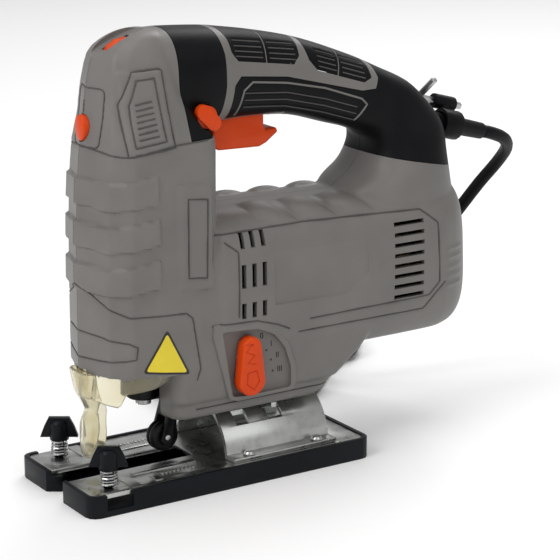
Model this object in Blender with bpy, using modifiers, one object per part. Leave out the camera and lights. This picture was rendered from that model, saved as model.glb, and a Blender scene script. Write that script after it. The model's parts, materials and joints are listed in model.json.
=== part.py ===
"""A corded jigsaw, modelled piece by piece. Blender 4.5, metres, +Z up.

The blade edge of the tool faces -Y, the operator's left is +X, and the origin is the centre of
the sole's bottom face. Places are given in millimetres as (x, behind, up): behind is the distance
from the sole's front edge towards the rear, and up is the height over the sole's bottom face.
"""

import math

import bmesh
import bpy
from mathutils import Matrix, Vector

MM = 0.001

# Overall sizes, in millimetres.
TOOL_LENGTH = 244.0
TOOL_HEIGHT = 229.0
SOLE_LENGTH = 165.0
SOLE_WIDTH = 76.0
MOTOR_WIDTH = 66.0

# Walls and clearances.
WALL = 2.5
GRIP_SKIN = 2.2
GAP = 0.3
SPLIT = 0.15

# Sole, plate and bracket.
SOLE_HEIGHT = 11.0
SOLE_FLOOR = 3.0
PLATE_TOP = 10.5
PLATE_THICKNESS = 2.2
FENCE_FRONT = 9.3
FENCE_REAR = 23.8
FENCE_SCREW_X = 26.0
TILT_HEIGHT = 10.0
BRACKET_RADIUS = 25.7
BRACKET_THICKNESS = 2.2
BRACKET_FRONT = 84.5
BRACKET_REAR = 146.0
BEVEL_SCREW_BEHIND = 115.0
BEVEL_SCREW_RADIUS = 2.9
BEVEL_RANGE = 30.0

# Motor and gear train.
MOTOR_UP = 97.5
GEAR_MODULE = 0.75
PINION_TEETH = 8
GEAR_TEETH = 56
GEAR_FRONT = 63.5
GEAR_WIDTH = 8.0
SHAFT_RADIUS = 4.0
CRANK_OFFSET = 10.0
CRANK_RADIUS = 3.5
CORE_RADIUS = 20.5
FAN_RADIUS = 28.0

# Blade drive.
PLUNGER_BEHIND = 51.0
PLUNGER_RADIUS = 4.0
BUSH_RADIUS = 7.0
COLLAR_RADIUS = 9.0
ROLLER_RADIUS = 8.0
ROLLER_BEHIND = 61.5
ROLLER_UP = 21.0

# Controls.
DIAL_RADIUS = 14.0
DIAL_WIDTH = 5.8
LOCK_RADIUS = 5.6
KNOB_RADIUS = 7.5
KNOB_REACH = 23.0
TRIGGER_WIDTH = 15.0

# Mains lead.
CORD_DIAMETER = 7.0
COIL_X = -102.0
COIL_BEHIND = 168.0
COIL_INNER_TURN = 33.0
TURN_PITCH = 7.2

LENGTH_ZONE = (126.0, 156.0)
HEIGHT_ZONE = (142.0, 164.0)


def stretched(value, zone, extra):
    """A place along the tool, where only the stretch inside zone takes up a change of size."""
    share = (value - zone[0]) / (zone[1] - zone[0])
    return value + extra * min(1.0, max(0.0, share))


def spot(x, behind, up):
    y = stretched(behind, LENGTH_ZONE, TOOL_LENGTH - 244.0) - SOLE_LENGTH / 2
    z = stretched(up, HEIGHT_ZONE, TOOL_HEIGHT - 229.0)
    return Vector((x, y, z)) * MM


def base_spot(x, behind, up):
    """A place on the sole, which keeps its own sizes when the tool above it changes."""
    return Vector((x, behind - SOLE_LENGTH / 2, up)) * MM


# ---- scene, collections and materials


def clear_scene():
    for old in list(bpy.data.objects):
        bpy.data.objects.remove(old, do_unlink=True)


def new_collection(name):
    collection = bpy.data.collections.new(name)
    bpy.context.scene.collection.children.link(collection)
    return collection


def material(name, color, roughness, metallic=0.0):
    made = bpy.data.materials.new(name)
    made.use_nodes = True
    shader = made.node_tree.nodes["Principled BSDF"]
    shader.inputs["Base Color"].default_value = (*color, 1.0)
    shader.inputs["Roughness"].default_value = roughness
    shader.inputs["Metallic"].default_value = metallic
    made.diffuse_color = (*color, 1.0)
    return made


clear_scene()
PARTS = new_collection("jigsaw")
CUTTERS = new_collection("cutters")

GREY = material("grey_plastic", (0.21, 0.20, 0.19), 0.5)
BLACK = material("black_rubber", (0.012, 0.012, 0.013), 0.6)
DARK = material("black_plastic", (0.015, 0.016, 0.018), 0.45)
ORANGE = material("orange_plastic", (0.80, 0.09, 0.012), 0.4)
CLEAR = material("clear_plastic", (0.75, 0.70, 0.50), 0.1)
ZINC = material("zinc_steel", (0.62, 0.62, 0.60), 0.3, 1.0)
STEEL = material("steel", (0.50, 0.50, 0.50), 0.3, 1.0)
IRON = material("laminated_iron", (0.28, 0.28, 0.29), 0.5, 1.0)
COPPER = material("copper", (0.72, 0.32, 0.16), 0.35, 1.0)
BRASS = material("brass", (0.75, 0.55, 0.22), 0.35, 1.0)
CARBON = material("carbon", (0.02, 0.02, 0.02), 0.7)
ALLOY = material("cast_alloy", (0.45, 0.45, 0.46), 0.45, 1.0)
BOARD = material("circuit_board", (0.05, 0.20, 0.08), 0.5)


# ---- making and finishing pieces


def add_object(name, mesh):
    made = bpy.data.objects.new(name, mesh)
    CUTTERS.objects.link(made)
    made.hide_render = True
    made.display_type = "WIRE"
    return made


def piece(made, finish, origin=None, smooth=40):
    """Turns a helper into a piece of the tool, with its origin where it is given."""
    CUTTERS.objects.unlink(made)
    PARTS.objects.link(made)
    made.hide_render = False
    made.display_type = "TEXTURED"
    made.data.materials.append(finish)
    if origin is not None:
        made.data.transform(Matrix.Translation(-origin))
        made.location = origin
    made.data.shade_smooth()
    made.data.set_sharp_from_angle(angle=math.radians(smooth))
    return made


def mesh_of(name, bm):
    bmesh.ops.recalc_face_normals(bm, faces=bm.faces[:])
    mesh = bpy.data.meshes.new(name)
    bm.to_mesh(mesh)
    bm.free()
    return mesh


def boolean(made, other, operation):
    modifier = made.modifiers.new(f"{operation}_{other.name}", "BOOLEAN")
    modifier.operation = operation
    modifier.solver = "EXACT"
    modifier.object = other


def cut(made, *others):
    for other in others:
        boolean(made, other, "DIFFERENCE")
    return made


def fuse(made, *others):
    for other in others:
        boolean(made, other, "UNION")
    return made


def keep(made, *others):
    for other in others:
        boolean(made, other, "INTERSECT")
    return made


def box(name, low, high):
    """A box between two corners, given as spots."""
    bm = bmesh.new()
    bmesh.ops.create_cube(bm, size=1.0)
    size = high - low
    bmesh.ops.scale(bm, vec=size, verts=bm.verts[:])
    bmesh.ops.translate(bm, vec=(low + high) / 2, verts=bm.verts[:])
    return add_object(name, mesh_of(name, bm))


def rod(name, start, end, radius, end_radius=None, sides=20):
    """A cylinder or cone between two spots."""
    bm = bmesh.new()
    reach = end - start
    turn = reach.to_track_quat("Z", "Y").to_matrix().to_4x4()
    bmesh.ops.create_cone(
        bm,
        cap_ends=True,
        segments=sides,
        radius1=radius * MM,
        radius2=(radius if end_radius is None else end_radius) * MM,
        depth=reach.length,
        matrix=Matrix.Translation((start + end) / 2) @ turn,
    )
    return add_object(name, mesh_of(name, bm))


def loft(name, rings):
    """A closed skin through rings of equally many points, capped at both ends."""
    bm = bmesh.new()
    rows = [[bm.verts.new(point) for point in ring] for ring in rings]
    count = len(rows[0])
    for row, following in zip(rows, rows[1:]):
        for k in range(count):
            n = (k + 1) % count
            bm.faces.new((row[k], row[n], following[n], following[k]))
    bm.faces.new(rows[0])
    bm.faces.new(rows[-1])
    bmesh.ops.triangulate(bm, faces=bm.faces[:])
    return add_object(name, mesh_of(name, bm))


def prism(name, outline, reach):
    """An outline of spots pushed along reach, both in metres."""
    bm = bmesh.new()
    face = bm.faces.new([bm.verts.new(point) for point in outline])
    pushed = bmesh.ops.extrude_face_region(bm, geom=[face])
    moved = [item for item in pushed["geom"] if isinstance(item, bmesh.types.BMVert)]
    bmesh.ops.translate(bm, vec=reach, verts=moved)
    return add_object(name, mesh_of(name, bm))


def side_prism(name, outline, low_x, high_x, place=spot):
    """A (behind, up) outline pushed along X."""
    return prism(
        name,
        [place(low_x, behind, up) for behind, up in outline],
        Vector(((high_x - low_x) * MM, 0, 0)),
    )


def turned(name, profile, center, axis, steps=24, ring=False):
    """A (radius, height) profile in millimetres turned about an axis through center."""
    mesh = bpy.data.meshes.new(name)
    points = [(radius * MM, 0, height * MM) for radius, height in profile]
    edges = [(k, k + 1) for k in range(len(points) - 1)]
    if ring:
        edges.append((len(points) - 1, 0))
    mesh.from_pydata(points, edges, [])
    made = add_object(name, mesh)
    screw = made.modifiers.new("turn", "SCREW")
    screw.angle = math.tau
    screw.steps = steps
    screw.render_steps = steps
    screw.use_merge_vertices = True
    screw.merge_threshold = 0.00001
    screw.use_normal_calculate = False
    made.location = center
    made.rotation_mode = "QUATERNION"
    made.rotation_quaternion = Vector(axis).to_track_quat("Z", "Y")
    return made


def tube(name, center, axis, inner, outer, length, steps=24):
    """A ring of the given length that starts at center and runs along axis."""
    profile = [(outer, length), (outer, 0), (inner, 0), (inner, length)]
    return turned(name, profile, center, axis, steps, ring=True)


def wheel_outline(teeth, module, phase=0.0):
    """Points of a straight-flanked gear wheel, as (across, along) pairs in millimetres."""
    pitch = math.tau / teeth
    root = module * (teeth / 2 - 1.2)
    tip = module * (teeth / 2 + 0.95)
    points = []
    for tooth in range(teeth):
        middle = phase + tooth * pitch
        for radius, share in ((root, -0.27), (tip, -0.12), (tip, 0.12), (root, 0.27)):
            angle = middle + share * pitch
            points.append((radius * math.cos(angle), radius * math.sin(angle)))
    return points


def gather(made, name, origin):
    """An empty on a joint's axis that carries the pieces of one moving body."""
    holder = bpy.data.objects.new(name, None)
    holder.location = origin
    PARTS.objects.link(holder)
    for child in made:
        child.parent = holder
        child.matrix_parent_inverse = Matrix.Translation(-origin)
    return holder


# ---- the outer form of the housing

# Plan sections of the nose: (up, front, rear, half width).
NOSE_RINGS = [
    (63.5, 15.4, 80.0, 29.6),
    (66.0, 15.0, 80.0, 30.0),
    (124.0, 15.4, 80.0, 30.0),
    (157.0, 16.9, 80.0, 30.0),
    (173.0, 18.3, 80.0, 30.0),
    (179.0, 19.0, 79.0, 28.6),
    (187.0, 20.2, 72.0, 26.3),
    (200.0, 22.0, 64.0, 23.6),
    (213.0, 24.6, 62.0, 21.0),
    (219.2, 27.4, 60.0, 18.8),
    (223.6, 33.0, 59.0, 16.0),
    (226.8, 40.3, 58.0, 13.0),
    (228.6, 47.0, 57.0, 8.0),
]

# Sections of the motor barrel: (top behind, top up, bottom behind, bottom up, half width as a
# share of the motor's half width, share of the wall taken off its end).
MOTOR_RINGS = [
    (60.0, 131.0, 60.0, 62.0, 0.85, 0.0),
    (78.0, 137.6, 78.0, 58.0, 0.95, 0.0),
    (86.0, 138.6, 86.0, 57.0, 1.0, 0.0),
    (150.0, 137.2, 150.0, 56.0, 1.0, 0.0),
    (204.0, 138.0, 206.0, 56.0, 1.0, 0.0),
    (221.0, 138.0, 223.0, 56.5, 0.906, 0.4),
    (231.0, 135.5, 233.5, 60.0, 0.727, 0.7),
    (237.5, 124.0, 240.0, 68.0, 0.515, 0.9),
    (241.8, 108.0, 244.0, 78.0, 0.273, 1.0),
]

# Plan sections of the lower block: (up, front, rear, half width).
BLOCK_RINGS = [
    (36.0, 55.5, 141.0, 25.5),
    (38.0, 54.0, 143.5, 27.0),
    (44.8, 54.0, 150.5, 27.6),
    (45.6, 53.6, 151.5, 29.6),
    (58.0, 53.6, 166.5, 30.0),
    (64.0, 53.6, 172.0, 30.0),
    (80.0, 53.6, 172.0, 30.0),
]

# Sections of the handle and the rear column: (top behind, top up, bottom behind, bottom up, half).
HANDLE_RINGS = [
    (50.0, 227.6, 56.0, 182.0, 19.0),
    (61.0, 228.8, 63.0, 180.0, 21.0),
    (86.0, 227.5, 84.0, 179.5, 21.5),
    (97.5, 226.1, 94.0, 180.0, 19.0),
    (117.5, 222.8, 110.0, 180.5, 17.8),
    (142.7, 217.0, 134.0, 179.0, 17.8),
    (171.6, 206.6, 157.0, 172.5, 18.0),
    (189.0, 198.9, 169.5, 168.9, 19.0),
    (205.8, 190.8, 180.0, 164.3, 21.0),
    (217.0, 180.5, 182.2, 160.0, 23.0),
    (226.5, 168.0, 181.2, 154.0, 25.0),
    (229.5, 152.0, 176.0, 146.0, 27.0),
    (232.0, 140.0, 165.0, 138.0, 28.5),
    (235.0, 126.0, 160.0, 128.0, 28.5),
]

# The soft overmould reaches from the collar behind the nose to the boot on the rear column.
GRIP_REACH = [
    (61.0, 240.0),
    (62.0, 200.0),
    (64.0, 168.0),
    (140.0, 150.0),
    (175.0, 166.0),
    (242.0, 138.6),
    (250.0, 200.0),
    (210.0, 240.0),
]


def plan_ring(up, front, rear, half, depth, corner):
    """A D-shaped plan section: an elliptical front, straight sides and rounded rear corners."""
    depth = min(depth, 0.7 * (rear - front))
    corner = min(corner, half * 0.6, 0.25 * (rear - front))
    points = []
    for k in range(15):
        angle = math.pi * k / 14
        points.append((-half * math.cos(angle), front + depth * (1 - math.sin(angle))))
    for sign in (1, -1):
        for k in range(3):
            angle = math.pi / 4 * (k if sign > 0 else 2 - k)
            points.append(
                (
                    sign * (half - corner + corner * math.cos(angle)),
                    rear - corner + corner * math.sin(angle),
                )
            )
    return [spot(x, behind, up) for x, behind in points]


def cross_ring(top, bottom, half, power, count=24):
    """A rounded section in the plane through X and the line from bottom to top."""
    middle = [(a + b) / 2 for a, b in zip(top, bottom)]
    reach = [(a - b) / 2 for a, b in zip(top, bottom)]
    points = []
    for k in range(count):
        angle = math.tau * k / count
        across, along = math.cos(angle), math.sin(angle)
        x = half * math.copysign(abs(across) ** (2 / power), across)
        share = math.copysign(abs(along) ** (2 / power), along)
        points.append(spot(x, middle[0] + share * reach[0], middle[1] + share * reach[1]))
    return points


def shortened(top, bottom, inset):
    """The ends of a section line, each moved towards the other by inset."""
    length = math.dist(top, bottom)
    step = [(a - b) / length * inset for a, b in zip(top, bottom)]
    return (
        (top[0] - step[0], top[1] - step[1]),
        (bottom[0] + step[0], bottom[1] + step[1]),
    )


def nose(name, inset):
    low, high = NOSE_RINGS[0][0], NOSE_RINGS[-1][0]
    rings = []
    for up, front, rear, half in NOSE_RINGS:
        share = (up - low) / (high - low)
        rings.append(
            plan_ring(
                up + inset * (1 - 2 * share),
                front + inset,
                rear - inset,
                half - inset,
                25.0 - inset * 0.8,
                8.0 - inset * 0.8,
            )
        )
    return loft(name, rings)


def block(name, inset):
    low, high = BLOCK_RINGS[0][0], BLOCK_RINGS[-1][0]
    rings = []
    for up, front, rear, half in BLOCK_RINGS:
        share = (high - up) / (high - low)
        rings.append(
            plan_ring(
                up + inset * share,
                front + inset,
                rear - inset,
                half - inset,
                7.0,
                5.0,
            )
        )
    return loft(name, rings)


def barrel(name, inset):
    rings = []
    for top_b, top_u, low_b, low_u, share, end in MOTOR_RINGS:
        top, bottom = shortened((top_b, top_u), (low_b, low_u), inset)
        top = (top[0] - end * inset, top[1])
        bottom = (bottom[0] - end * inset, bottom[1])
        rings.append(cross_ring(top, bottom, share * MOTOR_WIDTH / 2 - inset, 3.6))
    return loft(name, rings)


def handle(name, inset):
    rings = []
    for top_b, top_u, low_b, low_u, half in HANDLE_RINGS:
        top, bottom = shortened((top_b, top_u), (low_b, low_u), inset)
        rings.append(cross_ring(top, bottom, half - inset, 2.7, 20))
    return loft(name, rings)


# ---- the housing halves and the grip

# Housing screws: (behind, up, how far the head sits from the centre plane).
HOUSING_SCREWS = [
    (31.0, 197.0, 11.0),
    (28.0, 110.0, 15.0),
    (197.0, 183.0, 10.0),
    (223.0, 70.0, 14.0),
    (136.0, 47.0, 15.0),
]
SCREW_HEAD = 3.4
SCREW_SHANK = 1.7
BOSS_RADIUS = 5.2
SCREW_DEPTH = 9.0

RELIEF_START = (208.6, 170.7)
RELIEF_TILT = math.radians(-15.2)
RELIEF_LENGTH = 56.0
RELIEF_RADIUS = 5.6


def relief_spot(along, over=0.0, x=0.0):
    """A place in the strain relief's own direction: along it, and over its axis."""
    behind = along * math.cos(RELIEF_TILT) - over * math.sin(RELIEF_TILT)
    up = along * math.sin(RELIEF_TILT) + over * math.cos(RELIEF_TILT)
    return spot(x, *RELIEF_START) + Vector((0, behind, up)) * MM


def shell():
    """The hollow housing before it is split, without the openings of one side only."""
    grip_room = side_prism("grip_room", GRIP_REACH, -60, 60)
    core = cut(handle("handle_bare", 0), grip_room)
    fuse(core, handle("handle_core", GRIP_SKIN + GAP))
    fuse(core, nose("nose_outer", 0), barrel("barrel_outer", 0), block("block_outer", 0))
    hollow = nose("nose_hollow", WALL)
    fuse(hollow, barrel("barrel_hollow", WALL), block("block_hollow", WALL))
    fuse(hollow, handle("handle_hollow", GRIP_SKIN + GAP + WALL))
    walls = box("channel_walls", spot(-14.5, 36, 30), spot(14.5, 76.5, 68.5))
    knob_pan = box("knob_pan", spot(25.6, 79, 43), spot(40, 126, 83))
    cut(hollow, walls, knob_pan, dial_pan())
    for k, (behind, up, head) in enumerate(HOUSING_SCREWS):
        boss = rod(f"boss_{k}", spot(-60, behind, up), spot(60, behind, up), BOSS_RADIUS, sides=12)
        cut(hollow, boss)
    cut(core, hollow)
    cut(core, *shared_openings())
    return core


def shared_openings():
    relief = rod("relief_hole", relief_spot(4), relief_spot(40), RELIEF_RADIUS + GAP, sides=16)
    bevel_hole = rod(
        "bevel_hole",
        spot(0, BEVEL_SCREW_BEHIND, 30),
        spot(0, BEVEL_SCREW_BEHIND, 41),
        BEVEL_SCREW_RADIUS + GAP,
        sides=16,
    )
    blade_channel = box("blade_channel", spot(-12, 36, 30), spot(12, 74, 70))
    guard_notch = box("guard_notch", spot(-4.7, 19.4, 60), spot(4.7, 23.4, 70))
    laser_hole = rod("laser_hole", spot(0, 29, 60), spot(0, 29, 70), 2.6, sides=12)
    laser_oval = oval_prism("laser_oval", 10, 32, GAP)
    return [
        relief,
        bevel_hole,
        dial_pocket(),
        dial_slot(),
        blade_channel,
        guard_notch,
        laser_hole,
        laser_oval,
        trigger_slot(),
    ]


def trigger_slot():
    half = TRIGGER_WIDTH / 2 + GAP
    return box("trigger_slot", spot(-half, 87.5, 165), spot(half, 121.5, 190))


LASER_BUTTON_UP = 183.8
LASER_BUTTON_HALF_WIDTH = 4.9
LASER_BUTTON_HALF_HEIGHT = 6.4


def oval_prism(name, front, rear, grow):
    """An upright oval pushed towards the rear, for the laser button and its hole."""
    outline = []
    for k in range(20):
        angle = math.tau * (k + 0.5) / 20
        outline.append(
            spot(0, front, LASER_BUTTON_UP)
            + Vector(
                (
                    (LASER_BUTTON_HALF_WIDTH + grow) * math.cos(angle),
                    0,
                    (LASER_BUTTON_HALF_HEIGHT + grow) * math.sin(angle),
                )
            )
            * MM
        )
    return prism(name, outline, Vector((0, (rear - front) * MM, 0)))


DIAL_BEHIND = 44.9
DIAL_UP = 211.1

# The dial's sunk oval: a floor that slopes up towards the rear, about a middle point.
DIAL_FLOOR = (40.2, 222.6)
DIAL_SLOPE = math.radians(22.4)


def dial_place(along, over):
    """(behind, up) of a place along and over the dial's sloping floor."""
    behind = DIAL_FLOOR[0] + along * math.cos(DIAL_SLOPE) - over * math.sin(DIAL_SLOPE)
    up = DIAL_FLOOR[1] + along * math.sin(DIAL_SLOPE) + over * math.cos(DIAL_SLOPE)
    return behind, up


def dial_slot():
    wide = [(-8.3, 8.2), (-8.3, 0.4), (-10.4, -2.9), (-11.7, -5.3), (11.7, -5.3), (10.4, -2.9)]
    wide += [(8.3, 0.4), (8.3, 8.2)]
    half = DIAL_WIDTH / 2 + 0.5
    return side_prism("dial_slot", [dial_place(*place) for place in wide], -half, half)


def dial_pocket():
    outline = []
    for k in range(24):
        angle = math.tau * (k + 0.5) / 24
        behind, up = dial_place(15.5 * math.cos(angle), 0)
        outline.append(spot(7.4 * math.sin(angle), behind, up))
    rise = Vector((0, -math.sin(DIAL_SLOPE), math.cos(DIAL_SLOPE))) * 14 * MM
    return prism("dial_pocket", outline, rise)


def dial_pan():
    places = [dial_place(-20, -WALL), dial_place(20, -WALL), dial_place(20, 14), dial_place(-20, 14)]
    return side_prism("dial_pan", places, -10, 10)


KNOB_BEHIND = 94.0
KNOB_UP = 53.0
KNOB_FLOOR = 28.3
KNOB_RECESS = [
    (82.0, 45.0),
    (122.0, 45.0),
    (123.5, 72.0),
    (114.0, 79.0),
    (102.0, 81.0),
    (82.0, 81.0),
]
LOCK_BEHIND = 76.1
LOCK_UP = 186.6


def lock_hole():
    center = spot(0, LOCK_BEHIND, LOCK_UP)
    return rod(
        "lock_hole",
        center + Vector((10 * MM, 0, 0)),
        center + Vector((40 * MM, 0, 0)),
        LOCK_RADIUS + GAP,
    )


def side_vents(sign):
    """Slots over the fan and over the brushes, as boxes through one side wall."""
    near, far = sorted((sign * 28.0, sign * 40.0))
    slots = []
    for row, (low, high) in enumerate(((121.6, 129.2), (101.5, 113.5), (86.0, 94.0))):
        for k in range(3):
            behind = 90.6 + 6.0 * k
            slots.append(
                box(
                    f"fan_vent_{row}_{k}_{sign}",
                    spot(near, behind, low),
                    spot(far, behind + 2.2, high),
                )
            )
    for k in range(8):
        up = 82.4 + 5.5 * k
        slots.append(
            box(
                f"brush_vent_{k}_{sign}",
                spot(near, 182, up),
                spot(far, 201, up + 2.2),
            )
        )
    return slots


def halves(form):
    left = box("housing_left", spot(SPLIT, -20, -5), spot(70, 290, 260))
    keep(left, form)
    recess = side_prism("knob_recess", KNOB_RECESS, KNOB_FLOOR, 50)
    knob_bore = rod(
        "knob_bore",
        spot(20, KNOB_BEHIND, KNOB_UP),
        spot(40, KNOB_BEHIND, KNOB_UP),
        4.0 + GAP,
        sides=16,
    )
    cap_room = lock_cap("cap_room", 22.2 - LOCK_TRAVEL - GAP, 40, GAP)
    cut(left, recess, knob_bore, lock_hole(), cap_room, *side_vents(1))
    right = box("housing_right", spot(-70, -20, -5), spot(-SPLIT, 290, 260))
    keep(right, form)
    cut(right, *side_vents(-1))
    for k, (behind, up, head) in enumerate(HOUSING_SCREWS):
        bore = rod(
            f"screw_bore_{k}",
            spot(-head - 1, behind, up),
            spot(SCREW_DEPTH + GAP, behind, up),
            SCREW_SHANK + GAP,
            sides=10,
        )
        well = rod(
            f"screw_well_{k}",
            spot(-60, behind, up),
            spot(-head, behind, up),
            SCREW_HEAD + GAP,
            sides=12,
        )
        cut(left, bore)
        cut(right, bore, well)
    piece(left, GREY)
    piece(right, GREY)


def grips():
    grip_reach = side_prism("grip_reach", GRIP_REACH, -60, 60)
    skin = cut(handle("grip_skin", 0), handle("grip_inside", GRIP_SKIN))
    keep(skin, grip_reach_inside())
    cut(skin, nose("nose_clear", -GAP), trigger_slot_wide(), barrel("barrel_clear", -GAP))
    bpy.data.objects.remove(grip_reach, do_unlink=True)
    relief = rod("relief_gap", relief_spot(4), relief_spot(40), RELIEF_RADIUS + GAP, sides=16)
    cut(skin, relief)
    left = box("grip_left", spot(SPLIT, -20, 0), spot(70, 290, 260))
    cap_room = lock_cap("grip_cap_room", 22.2 - LOCK_TRAVEL - GAP, 40, GAP)
    cut(keep(left, skin), lock_hole(), cap_room)
    right = box("grip_right", spot(-70, -20, 0), spot(-SPLIT, 290, 260))
    keep(right, skin)
    for k, (behind, up, head) in enumerate(HOUSING_SCREWS):
        if 170 < up and behind > 100:
            well = rod(
                f"grip_well_{k}",
                spot(-60, behind, up),
                spot(-head, behind, up),
                SCREW_HEAD + GAP,
                sides=12,
            )
            cut(right, well)
    piece(left, BLACK)
    piece(right, BLACK)


def grip_reach_inside():
    """The overmould's reach, held back from the bare housing by the touching gap."""
    inner = [
        (61.3, 240.0),
        (62.3, 200.0),
        (64.3, 168.4),
        (139.9, 150.4),
        (175.0, 166.4),
        (241.8, 139.0),
        (249.7, 200.0),
        (209.8, 240.0),
    ]
    return side_prism("grip_inner_reach", inner, -60, 60)


def trigger_slot_wide():
    half = TRIGGER_WIDTH / 2 + 1.0
    return box("trigger_slot_wide", spot(-half, 86.5, 165), spot(half, 122.5, 190))


def housing_screws():
    for k, (behind, up, head) in enumerate(HOUSING_SCREWS):
        seat = spot(-head, behind, up)
        reach = head + SCREW_DEPTH
        profile = [
            (0, 2.6 - GAP),
            (SCREW_HEAD, 2.6 - GAP),
            (SCREW_HEAD, GAP),
            (SCREW_SHANK, GAP),
            (SCREW_SHANK, -reach),
            (0, -reach),
        ]
        screw = turned(f"housing_screw_{k + 1}", profile, seat, (-1, 0, 0), 12)
        piece(screw, STEEL)


# ---- controls


def trigger():
    outline = [
        (88.9, 170.0),
        (89.6, 167.2),
        (92.5, 165.6),
        (116.0, 165.0),
        (120.0, 166.6),
        (127.0, 171.6),
        (126.0, 174.0),
        (119.5, 173.2),
        (118.5, 176.0),
        (118.5, 186.0),
        (90.0, 186.0),
        (88.9, 178.0),
    ]
    made = side_prism("trigger", outline, -TRIGGER_WIDTH / 2, TRIGGER_WIDTH / 2)
    piece(made, ORANGE, spot(0, 104, 176))


def lock_cap(name, low_x, high_x, grow):
    """The lock button's long cap, which leans at 45 degrees."""
    radius = 3.8 + grow
    places = []
    for end, start in ((1, 0.0), (-1, math.pi)):
        for k in range(7):
            angle = start - math.pi / 2 + math.pi * k / 6
            places.append((end * 4.0 + radius * math.cos(angle), radius * math.sin(angle)))
    tilt = math.radians(-45)
    outline = []
    for along, across in places:
        outline.append(
            spot(low_x, LOCK_BEHIND, LOCK_UP)
            + Vector(
                (
                    0,
                    along * math.cos(tilt) - across * math.sin(tilt),
                    along * math.sin(tilt) + across * math.cos(tilt),
                )
            )
            * MM
        )
    return prism(name, outline, Vector(((high_x - low_x) * MM, 0, 0)))


LOCK_TRAVEL = 2.5


def lock_button():
    center = spot(0, LOCK_BEHIND, LOCK_UP)
    profile = [(0, 23.4), (LOCK_RADIUS, 23.4), (LOCK_RADIUS, 12.5), (0, 12.5)]
    hub = turned("lock_button", profile, center, (1, 0, 0), 24)
    fuse(hub, lock_cap("lock_cap", 22.2, 25.4, 0))
    piece(hub, ORANGE)


def laser_button():
    made = oval_prism("laser_button", 18.6, 25.6, 0)
    piece(made, ORANGE, spot(0, 22, LASER_BUTTON_UP))




def speed_dial():
    half = DIAL_WIDTH / 2
    count = 36
    outline = []
    for k in range(count):
        radius = DIAL_RADIUS if k % 2 else DIAL_RADIUS - 0.5
        angle = math.tau * k / count
        outline.append(
            spot(-half, DIAL_BEHIND, DIAL_UP)
            + Vector((0, radius * math.cos(angle), radius * math.sin(angle))) * MM
        )
    made = prism("speed_dial", outline, Vector((DIAL_WIDTH * MM, 0, 0)))
    axle = rod(
        "dial_axle",
        spot(-6, DIAL_BEHIND, DIAL_UP),
        spot(6, DIAL_BEHIND, DIAL_UP),
        2.0,
        sides=12,
    )
    fuse(made, axle)
    piece(made, ORANGE, spot(0, DIAL_BEHIND, DIAL_UP))


def knob_outline(base_x):
    """A tapering pointer: round about its hub, narrower and rounded at its tip."""
    points = []
    for k in range(13):
        angle = math.pi + math.pi * k / 12
        points.append((KNOB_RADIUS * math.cos(angle), KNOB_RADIUS * math.sin(angle)))
    tip = 5.4
    for k in range(7):
        angle = math.pi * k / 6
        points.append((tip * math.cos(angle), KNOB_REACH - tip + tip * math.sin(angle)))
    center = spot(base_x, KNOB_BEHIND, KNOB_UP)
    return [center + Vector((0, across, along)) * MM for across, along in points]


def orbit_knob():
    made = prism("orbit_knob", knob_outline(KNOB_FLOOR + GAP), Vector((7.0 * MM, 0, 0)))
    shaft = rod(
        "knob_shaft",
        spot(14.5, KNOB_BEHIND, KNOB_UP),
        spot(KNOB_FLOOR + 2, KNOB_BEHIND, KNOB_UP),
        4.0,
        sides=16,
    )
    fuse(made, shaft)
    piece(made, ORANGE, spot(0, KNOB_BEHIND, KNOB_UP))


def switch():
    made = box("switch_body", spot(-9, 90, 191.6), spot(9, 121, 212))
    stem = box("switch_stem", spot(-3, 99, 190.8), spot(3, 109, 193))
    piece(fuse(made, stem), DARK)
    board = box("speed_board", spot(-9, 62, 205), spot(9, 86, 206.6))
    chip = box("board_part", spot(-5, 66, 206), spot(5, 78, 212))
    piece(fuse(board, chip), BOARD)


# ---- motor


def armature():
    front, rear = GEAR_FRONT, 218.0
    outline = []
    for across, along in wheel_outline(PINION_TEETH, GEAR_MODULE, math.pi / 2):
        outline.append(spot(0, front, MOTOR_UP) + Vector((across, 0, along)) * MM)
    shaft = prism("armature_shaft", outline, Vector((0, 9.2 * MM, 0)))
    rounds = rod(
        "shaft_round",
        spot(0, front + GEAR_WIDTH + 0.6, MOTOR_UP),
        spot(0, rear, MOTOR_UP),
        SHAFT_RADIUS,
    )
    fuse(shaft, rounds)
    core_outline = []
    for tooth in range(12):
        middle = math.tau * tooth / 12
        for radius, share in ((17.5, -0.42), (CORE_RADIUS, -0.36), (CORE_RADIUS, 0.36), (17.5, 0.42)):
            angle = middle + share * math.tau / 12
            core_outline.append(
                spot(0, 119, MOTOR_UP)
                + Vector((radius * math.cos(angle), 0, radius * math.sin(angle))) * MM
            )
    core_end = spot(0, 161, MOTOR_UP)
    core = prism("armature_core", core_outline, core_end - spot(0, 119, MOTOR_UP))
    bore = rod("core_bore", spot(0, 110, MOTOR_UP), spot(0, 175, MOTOR_UP), SHAFT_RADIUS + GAP)
    cut(core, bore)
    segments = tube(
        "commutator", spot(0, 184, MOTOR_UP), (0, 1, 0), SHAFT_RADIUS + GAP, 11.0, 13.0
    )
    fan = cooling_fan()
    pieces = [
        piece(shaft, STEEL),
        piece(core, IRON),
        piece(segments, COPPER),
        piece(fan, DARK),
    ]
    gather(pieces, "armature", spot(0, 150, MOTOR_UP))


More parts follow.
